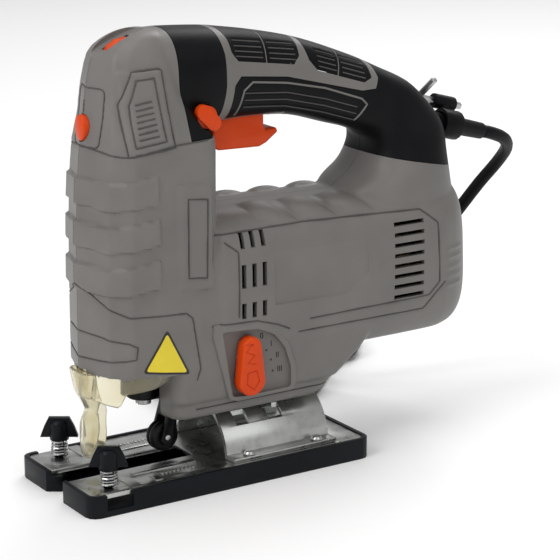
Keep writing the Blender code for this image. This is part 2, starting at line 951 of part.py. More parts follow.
def cooling_fan():
    profile = [
        (FAN_RADIUS, 1.8),
        (FAN_RADIUS, 0),
        (SHAFT_RADIUS + GAP, 0),
        (SHAFT_RADIUS + GAP, 9),
        (9, 9),
        (9, 1.8),
    ]
    fan = turned("cooling_fan", profile, spot(0, 94, MOTOR_UP), (0, 1, 0), 28, ring=True)
    for k in range(9):
        angle = math.tau * k / 9
        turn = Matrix.Rotation(angle, 4, "Y")
        vane = box(
            f"fan_vane_{k}", Vector((8.5, 1.2, -0.8)) * MM, Vector((FAN_RADIUS - 0.6, 10.5, 0.8)) * MM
        )
        vane.data.transform(Matrix.Translation(spot(0, 94, MOTOR_UP)) @ turn)
        fuse(fan, vane)
    return fan


def motor_frame():
    inner = CORE_RADIUS + 1.0
    outer = MOTOR_WIDTH / 2 - WALL - 1.0
    start, end = spot(0, 116, MOTOR_UP), spot(0, 164, MOTOR_UP)
    length = (end - start).length / MM
    piece(tube("stator", start, (0, 1, 0), inner, outer, length, 32), IRON)
    bearing = SHAFT_RADIUS + GAP
    piece(tube("front_bearing", spot(0, 77.6, MOTOR_UP), (0, 1, 0), bearing, 11.0, 7.0), STEEL)
    piece(tube("rear_bearing", spot(0, 206, MOTOR_UP), (0, 1, 0), bearing, 9.5, 7.0), STEEL)
    for side, sign in (("left", 1), ("right", -1)):
        near, far = sorted((sign * 13.0, sign * 27.0))
        holder = box(
            f"brush_holder_{side}", spot(near, 186, MOTOR_UP - 5), spot(far, 196, MOTOR_UP + 5)
        )
        near, far = sorted((sign * 12.0, sign * 28.0))
        window = box(
            f"brush_window_{side}", spot(near, 187.4, MOTOR_UP - 3.6), spot(far, 194.6, MOTOR_UP + 3.6)
        )
        piece(cut(holder, window), BRASS)
        near, far = sorted((sign * 11.4, sign * 23.0))
        brush = box(
            f"carbon_brush_{side}", spot(near, 187.7, MOTOR_UP - 3.3), spot(far, 194.3, MOTOR_UP + 3.3)
        )
        piece(brush, CARBON)


# ---- gear train and blade drive

GEAR_UP = MOTOR_UP + GEAR_MODULE * (GEAR_TEETH + PINION_TEETH) / 2
FRAME_FRONT = 72.6
FRAME_REAR = 77.1


def gear_frame():
    plate = box("gear_frame", spot(-21, FRAME_FRONT, 80), spot(21, FRAME_REAR, 170))
    upper = box("upper_arm", spot(-9.5, 43, 166), spot(9.5, 76, 178))
    lower = box("lower_arm", spot(-9.5, 43, 70.6), spot(9.5, FRAME_REAR, 82.6))
    fuse(plate, upper, lower)
    plunger_hole = rod(
        "bush_hole",
        spot(0, PLUNGER_BEHIND, 60),
        spot(0, PLUNGER_BEHIND, 190),
        BUSH_RADIUS + GAP,
    )
    shaft_hole = rod(
        "shaft_hole", spot(0, 65, MOTOR_UP), spot(0, 85, MOTOR_UP), SHAFT_RADIUS + 1.0
    )
    stud_hole = rod("stud_hole", spot(0, 65, GEAR_UP), spot(0, 85, GEAR_UP), SHAFT_RADIUS + GAP)
    cut(plate, plunger_hole, shaft_hole, stud_hole)
    piece(plate, ALLOY)
    stud = rod(
        "gear_stud", spot(0, GEAR_FRONT + 1, GEAR_UP), spot(0, FRAME_REAR, GEAR_UP), SHAFT_RADIUS
    )
    piece(stud, STEEL)
    bore = PLUNGER_RADIUS + GAP
    piece(
        tube("upper_bush", spot(0, PLUNGER_BEHIND, 166), (0, 0, 1), bore, BUSH_RADIUS, 12.0),
        BRASS,
    )
    piece(
        tube("lower_bush", spot(0, PLUNGER_BEHIND, 70.6), (0, 0, 1), bore, BUSH_RADIUS, 12.0),
        BRASS,
    )


def drive_gear():
    center = spot(0, GEAR_FRONT, GEAR_UP)
    pitch = math.tau / GEAR_TEETH
    outline = []
    for across, along in wheel_outline(GEAR_TEETH, GEAR_MODULE, -math.pi / 2 + pitch / 2):
        outline.append(center + Vector((across, 0, along)) * MM)
    wheel = prism("drive_gear", outline, Vector((0, GEAR_WIDTH * MM, 0)))
    bore = rod("gear_bore", spot(0, GEAR_FRONT + 0.7, GEAR_UP), spot(0, 90, GEAR_UP), SHAFT_RADIUS + GAP)
    pin = rod(
        "crank_pin",
        center + Vector((CRANK_OFFSET, -5.6, 0)) * MM,
        center + Vector((CRANK_OFFSET, 2.0, 0)) * MM,
        CRANK_RADIUS,
        sides=16,
    )
    cut(wheel, bore)
    fuse(wheel, pin)
    piece(wheel, STEEL, center)


PLUNGER_LOW = 40.0
PLUNGER_HIGH = 186.0
YOKE_REAR = GEAR_FRONT - 5.6 - GAP


def plunger():
    bar = rod(
        "plunger",
        spot(0, PLUNGER_BEHIND, PLUNGER_LOW),
        spot(0, PLUNGER_BEHIND, PLUNGER_HIGH),
        PLUNGER_RADIUS,
        sides=20,
    )
    half = CRANK_OFFSET + CRANK_RADIUS + 3.5
    tall = CRANK_RADIUS + 6.0
    yoke = box(
        "yoke",
        spot(-half, PLUNGER_BEHIND + 2, GEAR_UP - tall),
        spot(half, YOKE_REAR, GEAR_UP + tall),
    )
    reach = CRANK_OFFSET + CRANK_RADIUS + 0.5
    slot = box(
        "yoke_slot",
        spot(-reach, PLUNGER_BEHIND + PLUNGER_RADIUS + 0.2, GEAR_UP - CRANK_RADIUS - 0.5),
        spot(reach, YOKE_REAR + 3, GEAR_UP + CRANK_RADIUS + 0.5),
    )
    blade_slot = box(
        "blade_slot", spot(-0.8, PLUNGER_BEHIND - 8, 38), spot(0.8, PLUNGER_BEHIND + 8, 54)
    )
    cut(fuse(bar, yoke), slot, blade_slot)
    piece(bar, STEEL, spot(0, PLUNGER_BEHIND, PLUNGER_LOW))


def clamp_collar():
    center = spot(0, PLUNGER_BEHIND, 43.5)
    inner = PLUNGER_RADIUS + GAP
    profile = [
        (COLLAR_RADIUS - 1, 15),
        (COLLAR_RADIUS, 14),
        (COLLAR_RADIUS, 1),
        (COLLAR_RADIUS - 1, 0),
        (inner, 0),
        (inner, 15),
    ]
    collar = turned("clamp_collar", profile, center, (0, 0, 1), 24, ring=True)
    tab = box(
        "collar_tab",
        spot(-3, PLUNGER_BEHIND - COLLAR_RADIUS - 2.4, 46),
        spot(3, PLUNGER_BEHIND - COLLAR_RADIUS + 2, 56),
    )
    piece(fuse(collar, tab), DARK)


def guide():
    outline = [
        (64.6, 63.0),
        (71.5, 63.0),
        (71.5, 54.0),
        (67.6, 38.0),
        (66.2, 20.0),
        (64.0, 17.0),
        (59.5, 17.0),
        (57.8, 20.0),
        (60.6, 29.0),
        (63.4, 38.0),
        (64.6, 50.0),
    ]
    fork = side_prism("guide_fork", outline, -5.8, 5.8)
    slot = box("roller_slot", spot(-3.8, 50, 10), spot(3.8, 75, 31.5))
    trunnion = rod("fork_trunnion", spot(-11.6, 68, 59), spot(11.6, 68, 59), 2.4, sides=12)
    pin_hole = rod(
        "fork_pin_hole",
        spot(-10, ROLLER_BEHIND, ROLLER_UP),
        spot(10, ROLLER_BEHIND, ROLLER_UP),
        1.8,
        sides=12,
    )
    cut(fuse(fork, trunnion), slot, pin_hole)
    piece(fork, DARK, spot(0, 68, 59))
    center = spot(-3.5, ROLLER_BEHIND, ROLLER_UP)
    profile = [
        (ROLLER_RADIUS, 6.0),
        (ROLLER_RADIUS, 4.0),
        (ROLLER_RADIUS - 0.8, 3.5),
        (ROLLER_RADIUS, 3.0),
        (ROLLER_RADIUS, 1.0),
        (ROLLER_RADIUS - 1, 0),
        (1.8, 0),
        (1.8, 7.0),
        (ROLLER_RADIUS - 1, 7.0),
    ]
    piece(turned("guide_roller", profile, center, (1, 0, 0), 24, ring=True), DARK)
    pin = rod(
        "roller_pin",
        spot(-6.2, ROLLER_BEHIND, ROLLER_UP),
        spot(6.2, ROLLER_BEHIND, ROLLER_UP),
        1.5,
        sides=12,
    )
    piece(pin, STEEL, spot(0, ROLLER_BEHIND, ROLLER_UP))


def laser_module():
    profile = [(0, 18), (4, 18), (4, 0), (0, 0)]
    piece(turned("laser_module", profile, spot(0, 29, 66.4), (0, 0, 1), 20), DARK)


# ---- sole, plate, bracket and bevel clamp


def rounded_plan(name, half, front, rear, corner, low, high):
    """A flat slab with four rounded corners, in the sole's own places."""
    outline = []
    for quarter, (sx, end) in enumerate(((1, rear), (-1, rear), (-1, front), (1, front))):
        inward = -1 if end == rear else 1
        for k in range(4):
            angle = math.radians(90 * quarter + 30 * k)
            outline.append(
                base_spot(
                    sx * (half - corner) + corner * math.cos(angle),
                    end + inward * corner + corner * math.sin(angle),
                    low,
                )
            )
    return prism(name, outline, Vector((0, 0, (high - low) * MM)))


def sole():
    half = SOLE_WIDTH / 2
    tray = rounded_plan("sole_cover", half, 0, SOLE_LENGTH, 6.0, 0, SOLE_HEIGHT)
    inside = rounded_plan(
        "sole_inside", half - WALL, WALL, SOLE_LENGTH - WALL, 4.0, SOLE_FLOOR, SOLE_HEIGHT + 5
    )
    cut(tray, inside)
    under = PLATE_TOP - PLATE_THICKNESS - GAP
    for side, sign in (("left", 1), ("right", -1)):
        low_x, high_x = sorted((sign * (half - 8), sign * (half - 1)))
        rail = box(
            f"sole_rail_{side}",
            base_spot(low_x, FENCE_REAR + 5, 1),
            base_spot(high_x, SOLE_LENGTH - 3, under),
        )
        fuse(tray, rail)
        low_x, high_x = sorted((sign * (half - 6), sign * (half + 5)))
        notch = box(
            f"fence_notch_{side}",
            base_spot(low_x, FENCE_FRONT, SOLE_FLOOR),
            base_spot(high_x, FENCE_REAR, SOLE_HEIGHT + 5),
        )
        cut(tray, notch)
    ledge = box("front_ledge", base_spot(-half + 8, 1, 1), base_spot(half - 8, 7, under))
    blade_gap = box("blade_gap", base_spot(-5, -3, -3), base_spot(5, 74, 30))
    mouth = prism(
        "front_mouth",
        [base_spot(-11, -3, -3), base_spot(11, -3, -3), base_spot(3, 9, -3), base_spot(-3, 9, -3)],
        Vector((0, 0, 30 * MM)),
    )
    key_hole = rod(
        "key_hole",
        base_spot(0, BEVEL_SCREW_BEHIND, -3),
        base_spot(0, BEVEL_SCREW_BEHIND, 9),
        7.5,
    )
    cut(fuse(tray, ledge), blade_gap, mouth, key_hole)
    return piece(tray, DARK)


RIVET_SPOTS = [(sign * 29.6, behind) for sign in (1, -1) for behind in (95.0, 136.0)]


def base_plate():
    half = SOLE_WIDTH / 2 - WALL - GAP
    bottom = PLATE_TOP - PLATE_THICKNESS
    plate = rounded_plan(
        "base_plate", half, WALL + GAP, SOLE_LENGTH - WALL - GAP, 3.5, bottom, PLATE_TOP
    )
    blade_gap = box("plate_gap", base_spot(-9, -3, 0), base_spot(9, 74, 30))
    key_hole = rod(
        "plate_key_hole",
        base_spot(0, BEVEL_SCREW_BEHIND, 3),
        base_spot(0, BEVEL_SCREW_BEHIND, 20),
        9.0,
    )
    cut(plate, blade_gap, key_hole)
    for sign in (1, -1):
        hole = rod(
            f"fence_screw_hole_{sign}",
            base_spot(sign * FENCE_SCREW_X, FENCE_MIDDLE, 3),
            base_spot(sign * FENCE_SCREW_X, FENCE_MIDDLE, 20),
            FENCE_SHANK + GAP + 0.1,
            sides=16,
        )
        cut(plate, hole)
    for k, (x, behind) in enumerate(RIVET_SPOTS):
        shank = rod(
            f"rivet_shank_{k}", base_spot(x, behind, bottom + 1), base_spot(x, behind, 14.4), 1.7, sides=12
        )
        head = rod(
            f"rivet_head_{k}", base_spot(x, behind, 13.2), base_spot(x, behind, 14.8), 3.2, 2.2, 12
        )
        fuse(plate, fuse(shank, head))
    return piece(plate, ZINC)


def arc(radius, start, end, count):
    """(x, up) points on an arc about the tilt axis, angles in degrees from +X."""
    points = []
    for k in range(count + 1):
        angle = math.radians(start + (end - start) * k / count)
        points.append((radius * math.cos(angle), TILT_HEIGHT + radius * math.sin(angle)))
    return points


def bevel_bracket():
    foot = PLATE_TOP + GAP
    flange = foot + 2.1
    inner = BRACKET_RADIUS - BRACKET_THICKNESS
    outline = [(33.0, foot), (33.0, flange)]
    outline += arc(BRACKET_RADIUS, 6.5, 173.5, 22)
    outline += [(-33.0, flange), (-33.0, foot)]
    outline += arc(inner, 178.0, 2.0, 22)
    bracket = prism(
        "bevel_bracket",
        [base_spot(x, BRACKET_FRONT, up) for x, up in outline],
        Vector((0, (BRACKET_REAR - BRACKET_FRONT) * MM, 0)),
    )
    half = inner * math.sin(math.radians(BEVEL_RANGE + 12))
    slot = box(
        "bracket_slot",
        base_spot(-half, BEVEL_SCREW_BEHIND - BEVEL_SCREW_RADIUS - 0.5, 24),
        base_spot(half, BEVEL_SCREW_BEHIND + BEVEL_SCREW_RADIUS + 0.5, 40),
    )
    cut(bracket, slot)
    for k, (x, behind) in enumerate(RIVET_SPOTS):
        hole = rod(f"rivet_hole_{k}", base_spot(x, behind, 9), base_spot(x, behind, 20), 2.0, sides=12)
        cut(bracket, hole)
    return piece(bracket, ZINC)


def bevel_clamp():
    outer = BRACKET_RADIUS - BRACKET_THICKNESS - GAP
    inner = outer - 2.4
    outline = arc(outer, 62, 118, 10) + arc(inner, 118, 62, 10)
    saddle = prism(
        "clamp_saddle",
        [base_spot(x, BEVEL_SCREW_BEHIND - 11, up) for x, up in outline],
        Vector((0, 22 * MM, 0)),
    )
    hole = rod(
        "saddle_hole",
        base_spot(0, BEVEL_SCREW_BEHIND, 20),
        base_spot(0, BEVEL_SCREW_BEHIND, 40),
        BEVEL_SCREW_RADIUS + GAP,
        sides=16,
    )
    piece(cut(saddle, hole), STEEL)
    head = 5.0
    under = TILT_HEIGHT + math.sqrt(inner**2 - head**2) - GAP
    profile = [
        (0, 19),
        (BEVEL_SCREW_RADIUS, 19),
        (BEVEL_SCREW_RADIUS, 0),
        (head, 0),
        (head, -4.6),
        (2.2, -4.6),
        (2.2, -1.6),
        (0, -1.6),
    ]
    screw = turned(
        "bevel_screw", profile, base_spot(0, BEVEL_SCREW_BEHIND, under), (0, 0, 1), 16
    )
    piece(screw, STEEL)


FENCE_MIDDLE = (FENCE_FRONT + FENCE_REAR) / 2
FENCE_SHANK = 2.4
WING_TURN = math.radians(57)


def fence_screw(side, sign):
    center = base_spot(sign * FENCE_SCREW_X, FENCE_MIDDLE, 0)
    low = PLATE_TOP - PLATE_THICKNESS - 0.1
    profile = [
        (0, 30),
        (3.8, 30),
        (4.9, 28.6),
        (4.9, 19.8),
        (FENCE_SHANK, 19.8),
        (FENCE_SHANK, low),
        (0, low),
    ]
    screw = turned(f"fence_screw_{side}", profile, center, (0, 0, 1), 20)
    outline = []
    for along, up in ((-9.6, 21.2), (9.6, 21.2), (7.6, 26.5), (5.2, 31.2), (-5.2, 31.2), (-7.6, 26.5)):
        outline.append(
            center
            + Vector(
                (
                    along * math.cos(WING_TURN) + 1.8 * math.sin(WING_TURN),
                    along * math.sin(WING_TURN) - 1.8 * math.cos(WING_TURN),
                    up,
                )
            )
            * MM
        )
    reach = Vector((-math.sin(WING_TURN), math.cos(WING_TURN), 0)) * 3.6 * MM
    fuse(screw, prism(f"fence_wing_{side}", outline, reach))
    return piece(screw, DARK)


def fence_spring(side, sign):
    low, high, turns, radius, wire = PLATE_TOP + 0.9, 19.0, 5, 4.4, 0.5
    curve = bpy.data.curves.new(f"spring_path_{side}", "CURVE")
    curve.dimensions = "3D"
    curve.bevel_depth = wire * MM
    curve.bevel_resolution = 1
    curve.use_fill_caps = True
    count = turns * 10
    line = curve.splines.new("POLY")
    line.points.add(count)
    for k in range(count + 1):
        angle = math.tau * turns * k / count
        wide = radius * (1 - 0.15 * k / count)
        up = low + (high - low) * k / count
        line.points[k].co = (
            *(
                base_spot(sign * FENCE_SCREW_X, FENCE_MIDDLE, up)
                + Vector((wide * math.cos(angle), wide * math.sin(angle), 0)) * MM
            ),
            1,
        )
    made = add_object(f"fence_spring_{side}", curve)
    return curve_piece(made, STEEL)


def curve_piece(made, finish):
    CUTTERS.objects.unlink(made)
    PARTS.objects.link(made)
    made.hide_render = False
    made.display_type = "TEXTURED"
    made.data.materials.append(finish)
    return made


def base():
    pieces = [sole(), base_plate(), bevel_bracket()]
    for side, sign in (("left", 1), ("right", -1)):
        pieces.append(fence_screw(side, sign))
        pieces.append(fence_spring(side, sign))
    gather(pieces, "base", base_spot(0, SOLE_LENGTH / 2, TILT_HEIGHT))


def chip_guard():
    outer = loft(
        "chip_guard",
        [plan_ring(up, 14.6, 47.0, 25.0, 21.0, 1.0) for up in (46.0, 63.2)],
    )
    inner = loft(
        "guard_inside",
        [plan_ring(up, 16.6, 60.0, 23.0, 19.4, 1.0) for up in (40.0, 70.0)],
    )
    cut(outer, inner)
    rings = []
    for up, front, rear, half in (
        (21.0, 19.8, 24.5, 3.4),
        (27.0, 17.6, 28.0, 4.5),
        (45.0, 17.2, 28.0, 4.5),
        (62.8, 15.4, 24.6, 4.5),
    ):
        rings.append(
            [
                spot(-half, front, up),
                spot(half, front, up),
                spot(half, rear, up),
                spot(-half, rear, up),
            ]
        )
    fin = loft("guard_fin", rings)
    hollow = box("guard_fin_hollow", spot(-2.6, 21.6, 24), spot(2.6, 40, 58))
    tongue = box("guard_tongue", spot(-4.3, 19.8, 58), spot(4.3, 23.0, 75))
    fuse(outer, cut(fin, hollow), tongue)
    piece(outer, CLEAR)


# ---- mains lead, its plug and the key


def strain_relief():
    profile = [
        (0, RELIEF_LENGTH),
        (RELIEF_RADIUS - 1.2, RELIEF_LENGTH),
        (RELIEF_RADIUS, 16),
        (RELIEF_RADIUS, 3.4),
        (RELIEF_RADIUS + 1.6, 3.4),
        (RELIEF_RADIUS + 1.6, 0),
        (0, 0),
    ]
    axis = (0, math.cos(RELIEF_TILT), math.sin(RELIEF_TILT))
    piece(turned("strain_relief", profile, relief_spot(0), axis, 16), BLACK)
    clamp = box("cord_clamp", spot(-8, 193, 166), spot(8, 200, 170))
    piece(clamp, DARK)


KEY_X = -8.0
KEY_OVER = 10.5
KEY_START = 14.5
KEY_END = 44.0
KEY_RADIUS = 1.9


def hex_key():
    bend = relief_spot(KEY_START, KEY_OVER, KEY_X)
    short = Vector((0.64, -0.20, 0.74)).normalized()
    across = Vector((0, -math.sin(RELIEF_TILT), math.cos(RELIEF_TILT)))
    upright = (short.x * Vector((1, 0, 0)) + short.dot(across) * across).normalized()
    leg = rod("hex_key", bend, relief_spot(KEY_END, KEY_OVER, KEY_X), KEY_RADIUS, sides=6)
    foot = rod("key_foot", bend - upright * 0.0012, bend + upright * 0.0155, KEY_RADIUS, sides=6)
    fuse(leg, foot)
    piece(leg, STEEL)
    axis = Vector((0, math.cos(RELIEF_TILT), math.sin(RELIEF_TILT)))
    collar = tube("key_clip", relief_spot(26), axis, RELIEF_RADIUS + GAP, RELIEF_RADIUS + 2.2, 12, 16)
    eye = rod("clip_eye", relief_spot(25, KEY_OVER, KEY_X), relief_spot(39, KEY_OVER, KEY_X), 4.0, sides=12)
    web = rod("clip_web", relief_spot(32, 4.9, -4.4), relief_spot(32, 8.6, -6.8), 3.0, sides=8)
    groove = rod(
        "clip_groove",
        relief_spot(16, KEY_OVER, KEY_X),
        relief_spot(50, KEY_OVER, KEY_X),
        KEY_RADIUS + GAP,
        sides=12,
    )
    fuse(collar, cut(fuse(eye, web), groove, rod(
        "clip_bore", relief_spot(18), relief_spot(50), RELIEF_RADIUS + GAP + 0.5, sides=16
    )))
    piece(collar, BLACK)


# The lead's free stretch, as chosen places (x, behind, up) from the strain relief to the coil.
LEAD_ROUTE = [
    (0.0, 263.0, 155.93),
    (0.0, 270.0, 154.04),
    (-3.0, 281.0, 149.4),
    (-11.0, 289.5, 142.0),
    (-22.0, 292.0, 131.5),
    (-32.5, 288.5, 118.5),
    (-41.0, 281.5, 103.0),
    (-48.0, 272.0, 86.5),
    (-53.5, 261.0, 70.0),
    (-58.0, 249.0, 54.0),
    (-62.5, 237.0, 40.0),
    (-68.5, 226.0, 28.8),
    (-78.0, 216.8, 21.0),
]

# The short stretch from the coil to the plug, along a straight line on the floor.
TAIL_FOOT = (-68.5, 201.5)
TAIL_TURN = math.radians(135)
TAIL_UP = [(28.0, 4.2), (32.0, 4.9), (37.0, 6.8), (41.0, 7.6), (44.0, 7.7)]
PLUG_START = 44.5
PLUG_LENGTH = 36.0
PLUG_PIN_GAP = 19.0


def tail_spot(along, across, up):
    x = TAIL_FOOT[0] + along * math.cos(TAIL_TURN) - across * math.sin(TAIL_TURN)
    behind = TAIL_FOOT[1] + along * math.sin(TAIL_TURN) + across * math.cos(TAIL_TURN)
    return base_spot(x, behind, up)


def smooth_through(points, step):
    """Points a step apart on a smooth curve through the given ones."""
    spline = []
    last = len(points) - 1
    for k in range(last):
        a, b = points[max(k - 1, 0)], points[k]
        c, d = points[k + 1], points[min(k + 2, last)]
        count = max(1, round((c - b).length / step))
        for i in range(count):
            t = i / count
            spline.append(
                0.5
                * (
                    2 * b
                    + (c - a) * t
                    + (2 * a - 5 * b + 4 * c - d) * t**2
                    + (3 * b - a - 3 * c + d) * t**3
                )
            )
    spline.append(points[last])
    return spline


def cord(name, places):
    curve = bpy.data.curves.new(name, "CURVE")
    curve.dimensions = "3D"
    curve.bevel_depth = CORD_DIAMETER / 2 * MM
    curve.bevel_resolution = 2
    curve.use_fill_caps = True
    points = smooth_through(places, 0.012)
    line = curve.splines.new("POLY")
    line.points.add(len(points) - 1)
    for target, point in zip(line.points, points):
        target.co = (*point, 1)
    curve_piece(add_object(name, curve), BLACK)


def mains_lead():
    cord("cord_lead", [base_spot(*place) for place in LEAD_ROUTE])
    cord("cord_tail", [tail_spot(along, 0, up) for along, up in TAIL_UP])
    radius = CORD_DIAMETER / 2
    inner = COIL_INNER_TURN - radius - 0.2
    outer = COIL_INNER_TURN + 2 * TURN_PITCH + radius + 0.2
    top_inner = COIL_INNER_TURN + TURN_PITCH - radius - 0.6
    top_outer = COIL_INNER_TURN + TURN_PITCH + radius + 0.6
    shelf = 2 * CORD_DIAMETER + 0.3
    high = 3 * CORD_DIAMETER + 0.2
    profile = [
        (top_outer, high),
        (top_outer, shelf),
        (outer - 1.5, shelf),
        (outer, shelf - 1.5),
        (outer, 1.5),
        (outer - 1.5, 0),
        (inner + 1.5, 0),
        (inner, 1.5),
        (inner, shelf - 1.5),
        (inner + 1.5, shelf),
        (top_inner, shelf),
        (top_inner, high),
    ]
    center = base_spot(COIL_X, COIL_BEHIND, 0)
    piece(turned("cord_coil", profile, center, (0, 0, 1), 36, ring=True), BLACK)
    plug()


def plug():
    rings = []
    for along, wide, tall in (
        (0, 4.2, 4.2),
        (7, 4.8, 4.6),
        (13, 9.0, 6.6),
        (17, 12.4, 7.4),
        (21, 13.2, 7.4),
        (34, 13.2, 7.4),
        (PLUG_LENGTH, 12.2, 6.4),
    ):
        ring = []
        for k in range(16):
            angle = math.tau * k / 16
            across = wide * math.copysign(abs(math.cos(angle)) ** 0.7, math.cos(angle))
            over = tall * math.copysign(abs(math.sin(angle)) ** 0.7, math.sin(angle))
            ring.append(tail_spot(PLUG_START + along, across, 7.7 + over))
        rings.append(ring)
    piece(loft("plug_body", rings), BLACK)
    for side, sign in (("left", 1), ("right", -1)):
        foot = tail_spot(PLUG_START + PLUG_LENGTH + GAP, sign * PLUG_PIN_GAP / 2, 7.7)
        tip = tail_spot(PLUG_START + PLUG_LENGTH + 19, sign * PLUG_PIN_GAP / 2, 7.7)
        piece(rod(f"plug_pin_{side}", foot, tip, 2.4, 2.0, 12), STEEL)


def build():
    halves(shell())
    grips()
    housing_screws()
    trigger()
    lock_button()
    laser_button()
    speed_dial()
    orbit_knob()
    switch()
    armature()
    motor_frame()
    gear_frame()
    drive_gear()
    plunger()
    clamp_collar()
    guide()
    laser_module()
    base()
    bevel_clamp()
    chip_guard()
    strain_relief()
    hex_key()
    mains_lead()


build()
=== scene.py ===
import json
import math

import bmesh
import bpy
import numpy as np
from mathutils import Matrix, Vector
from mathutils.bvhtree import BVHTree
from mathutils.kdtree import KDTree

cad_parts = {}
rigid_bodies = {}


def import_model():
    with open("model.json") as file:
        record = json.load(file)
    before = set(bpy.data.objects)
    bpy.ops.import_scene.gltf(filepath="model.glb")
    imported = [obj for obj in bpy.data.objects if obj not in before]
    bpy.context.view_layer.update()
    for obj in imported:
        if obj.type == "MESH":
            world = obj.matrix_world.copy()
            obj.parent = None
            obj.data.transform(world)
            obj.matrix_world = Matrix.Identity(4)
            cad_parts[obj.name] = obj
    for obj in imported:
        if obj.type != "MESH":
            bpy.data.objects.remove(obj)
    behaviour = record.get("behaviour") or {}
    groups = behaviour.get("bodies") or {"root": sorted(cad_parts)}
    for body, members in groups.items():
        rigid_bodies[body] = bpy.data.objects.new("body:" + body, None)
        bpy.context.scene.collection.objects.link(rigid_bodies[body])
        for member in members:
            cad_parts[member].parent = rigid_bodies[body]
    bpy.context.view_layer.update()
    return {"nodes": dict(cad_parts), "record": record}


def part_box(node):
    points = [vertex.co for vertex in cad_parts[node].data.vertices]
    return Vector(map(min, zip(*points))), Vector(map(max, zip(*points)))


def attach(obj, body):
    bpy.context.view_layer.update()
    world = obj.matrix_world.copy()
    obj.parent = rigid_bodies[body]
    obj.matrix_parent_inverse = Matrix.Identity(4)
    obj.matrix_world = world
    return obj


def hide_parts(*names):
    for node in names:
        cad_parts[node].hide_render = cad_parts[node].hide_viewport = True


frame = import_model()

record = frame["record"]
bodyOf = {node: body for body, nodes in record["behaviour"]["bodies"].items() for node in nodes}
slotOf = {row["node"]: row["material_slot"] for row in record["subparts"]}
soleLength = 165.0


def say(text):
    print("stage:", text, flush=True)


def at(x, behind, up):
    # millimetres from the centre plane, the sole's front edge and the floor
    return Vector((x, behind - soleLength / 2, up)) * 0.001


# materials

def link(tree, source, output, target, socket):
    tree.links.new(source.outputs[output], target.inputs[socket])


def makeGroup(name, inputs, outputs):
    group = bpy.data.node_groups.new(name, "ShaderNodeTree")
    for label, kind, value in inputs:
        socket = group.interface.new_socket(label, in_out="INPUT", socket_type=kind)
        socket.default_value = value
    for label, kind in outputs:
        group.interface.new_socket(label, in_out="OUTPUT", socket_type=kind)
    entry = group.nodes.new("NodeGroupInput")
    exitNode = group.nodes.new("NodeGroupOutput")
    return group, entry, exitNode


def grainGroup():
    # moulded grain: a fine height and a slow tint that drifts over the surface
    group, entry, out = makeGroup(
        "mouldedGrain",
        [("Fine", "NodeSocketFloat", 1600.0), ("Broad", "NodeSocketFloat", 35.0)],
        [("Height", "NodeSocketFloat"), ("Drift", "NodeSocketFloat")],
    )
    place = group.nodes.new("ShaderNodeTexCoord")
    fine = group.nodes.new("ShaderNodeTexNoise")
    fine.inputs["Detail"].default_value = 3.0
    broad = group.nodes.new("ShaderNodeTexNoise")
    broad.inputs["Detail"].default_value = 4.0
    link(group, place, "Object", fine, "Vector")
    link(group, place, "Object", broad, "Vector")
    link(group, entry, "Fine", fine, "Scale")
    link(group, entry, "Broad", broad, "Scale")
    link(group, fine, "Fac", out, "Height")
    link(group, broad, "Fac", out, "Drift")
    return group


def scratchGroup():
    # long fine marks drawn along one direction, for rolled and turned metal
    group, entry, out = makeGroup(
        "rolledMarks",
        [("Stretch", "NodeSocketVector", (60.0, 900.0, 900.0))],
        [("Height", "NodeSocketFloat"), ("Cloud", "NodeSocketFloat")],
    )
    place = group.nodes.new("ShaderNodeTexCoord")
    scale = group.nodes.new("ShaderNodeVectorMath")
    scale.operation = "MULTIPLY"
    marks = group.nodes.new("ShaderNodeTexNoise")
    marks.inputs["Scale"].default_value = 1.0
    marks.inputs["Detail"].default_value = 3.0
    cloud = group.nodes.new("ShaderNodeTexNoise")
    cloud.inputs["Scale"].default_value = 120.0
    cloud.inputs["Detail"].default_value = 5.0
    link(group, place, "Object", scale, 0)
    group.links.new(entry.outputs["Stretch"], scale.inputs[1])
    link(group, scale, "Vector", marks, "Vector")
    link(group, place, "Object", cloud, "Vector")
    link(group, marks, "Fac", out, "Height")
    link(group, cloud, "Fac", out, "Cloud")
    return group


grain = grainGroup()
marksGroup = scratchGroup()


def newMaterial(name, roughness, metallic=0.0):
    made = bpy.data.materials.new(name)
    made.use_nodes = True
    tree = made.node_tree
    shader = tree.nodes["Principled BSDF"]
    shader.inputs["Roughness"].default_value = roughness
    shader.inputs["Metallic"].default_value = metallic
    return made, tree, shader


def tintBetween(tree, source, output, dark, light, shader, low=0.35, high=0.65):
    ramp = tree.nodes.new("ShaderNodeValToRGB")
    ramp.color_ramp.elements[0].position = low
    ramp.color_ramp.elements[0].color = (*dark, 1)
    ramp.color_ramp.elements[1].position = high
    ramp.color_ramp.elements[1].color = (*light, 1)
    link(tree, source, output, ramp, "Fac")
    link(tree, ramp, "Color", shader, "Base Color")


def spreadRoughness(tree, source, output, shader, low, high):
    spread = tree.nodes.new("ShaderNodeMapRange")
    spread.inputs["From Min"].default_value = 0.3
    spread.inputs["From Max"].default_value = 0.7
    spread.inputs["To Min"].default_value = low
    spread.inputs["To Max"].default_value = high
    link(tree, source, output, spread, "Value")
    link(tree, spread, "Result", shader, "Roughness")


def addBump(tree, source, output, shader, strength, distance):
    bump = tree.nodes.new("ShaderNodeBump")
    bump.inputs["Strength"].default_value = strength
    bump.inputs["Distance"].default_value = distance
    link(tree, source, output, bump, "Height")
    link(tree, bump, "Normal", shader, "Normal")


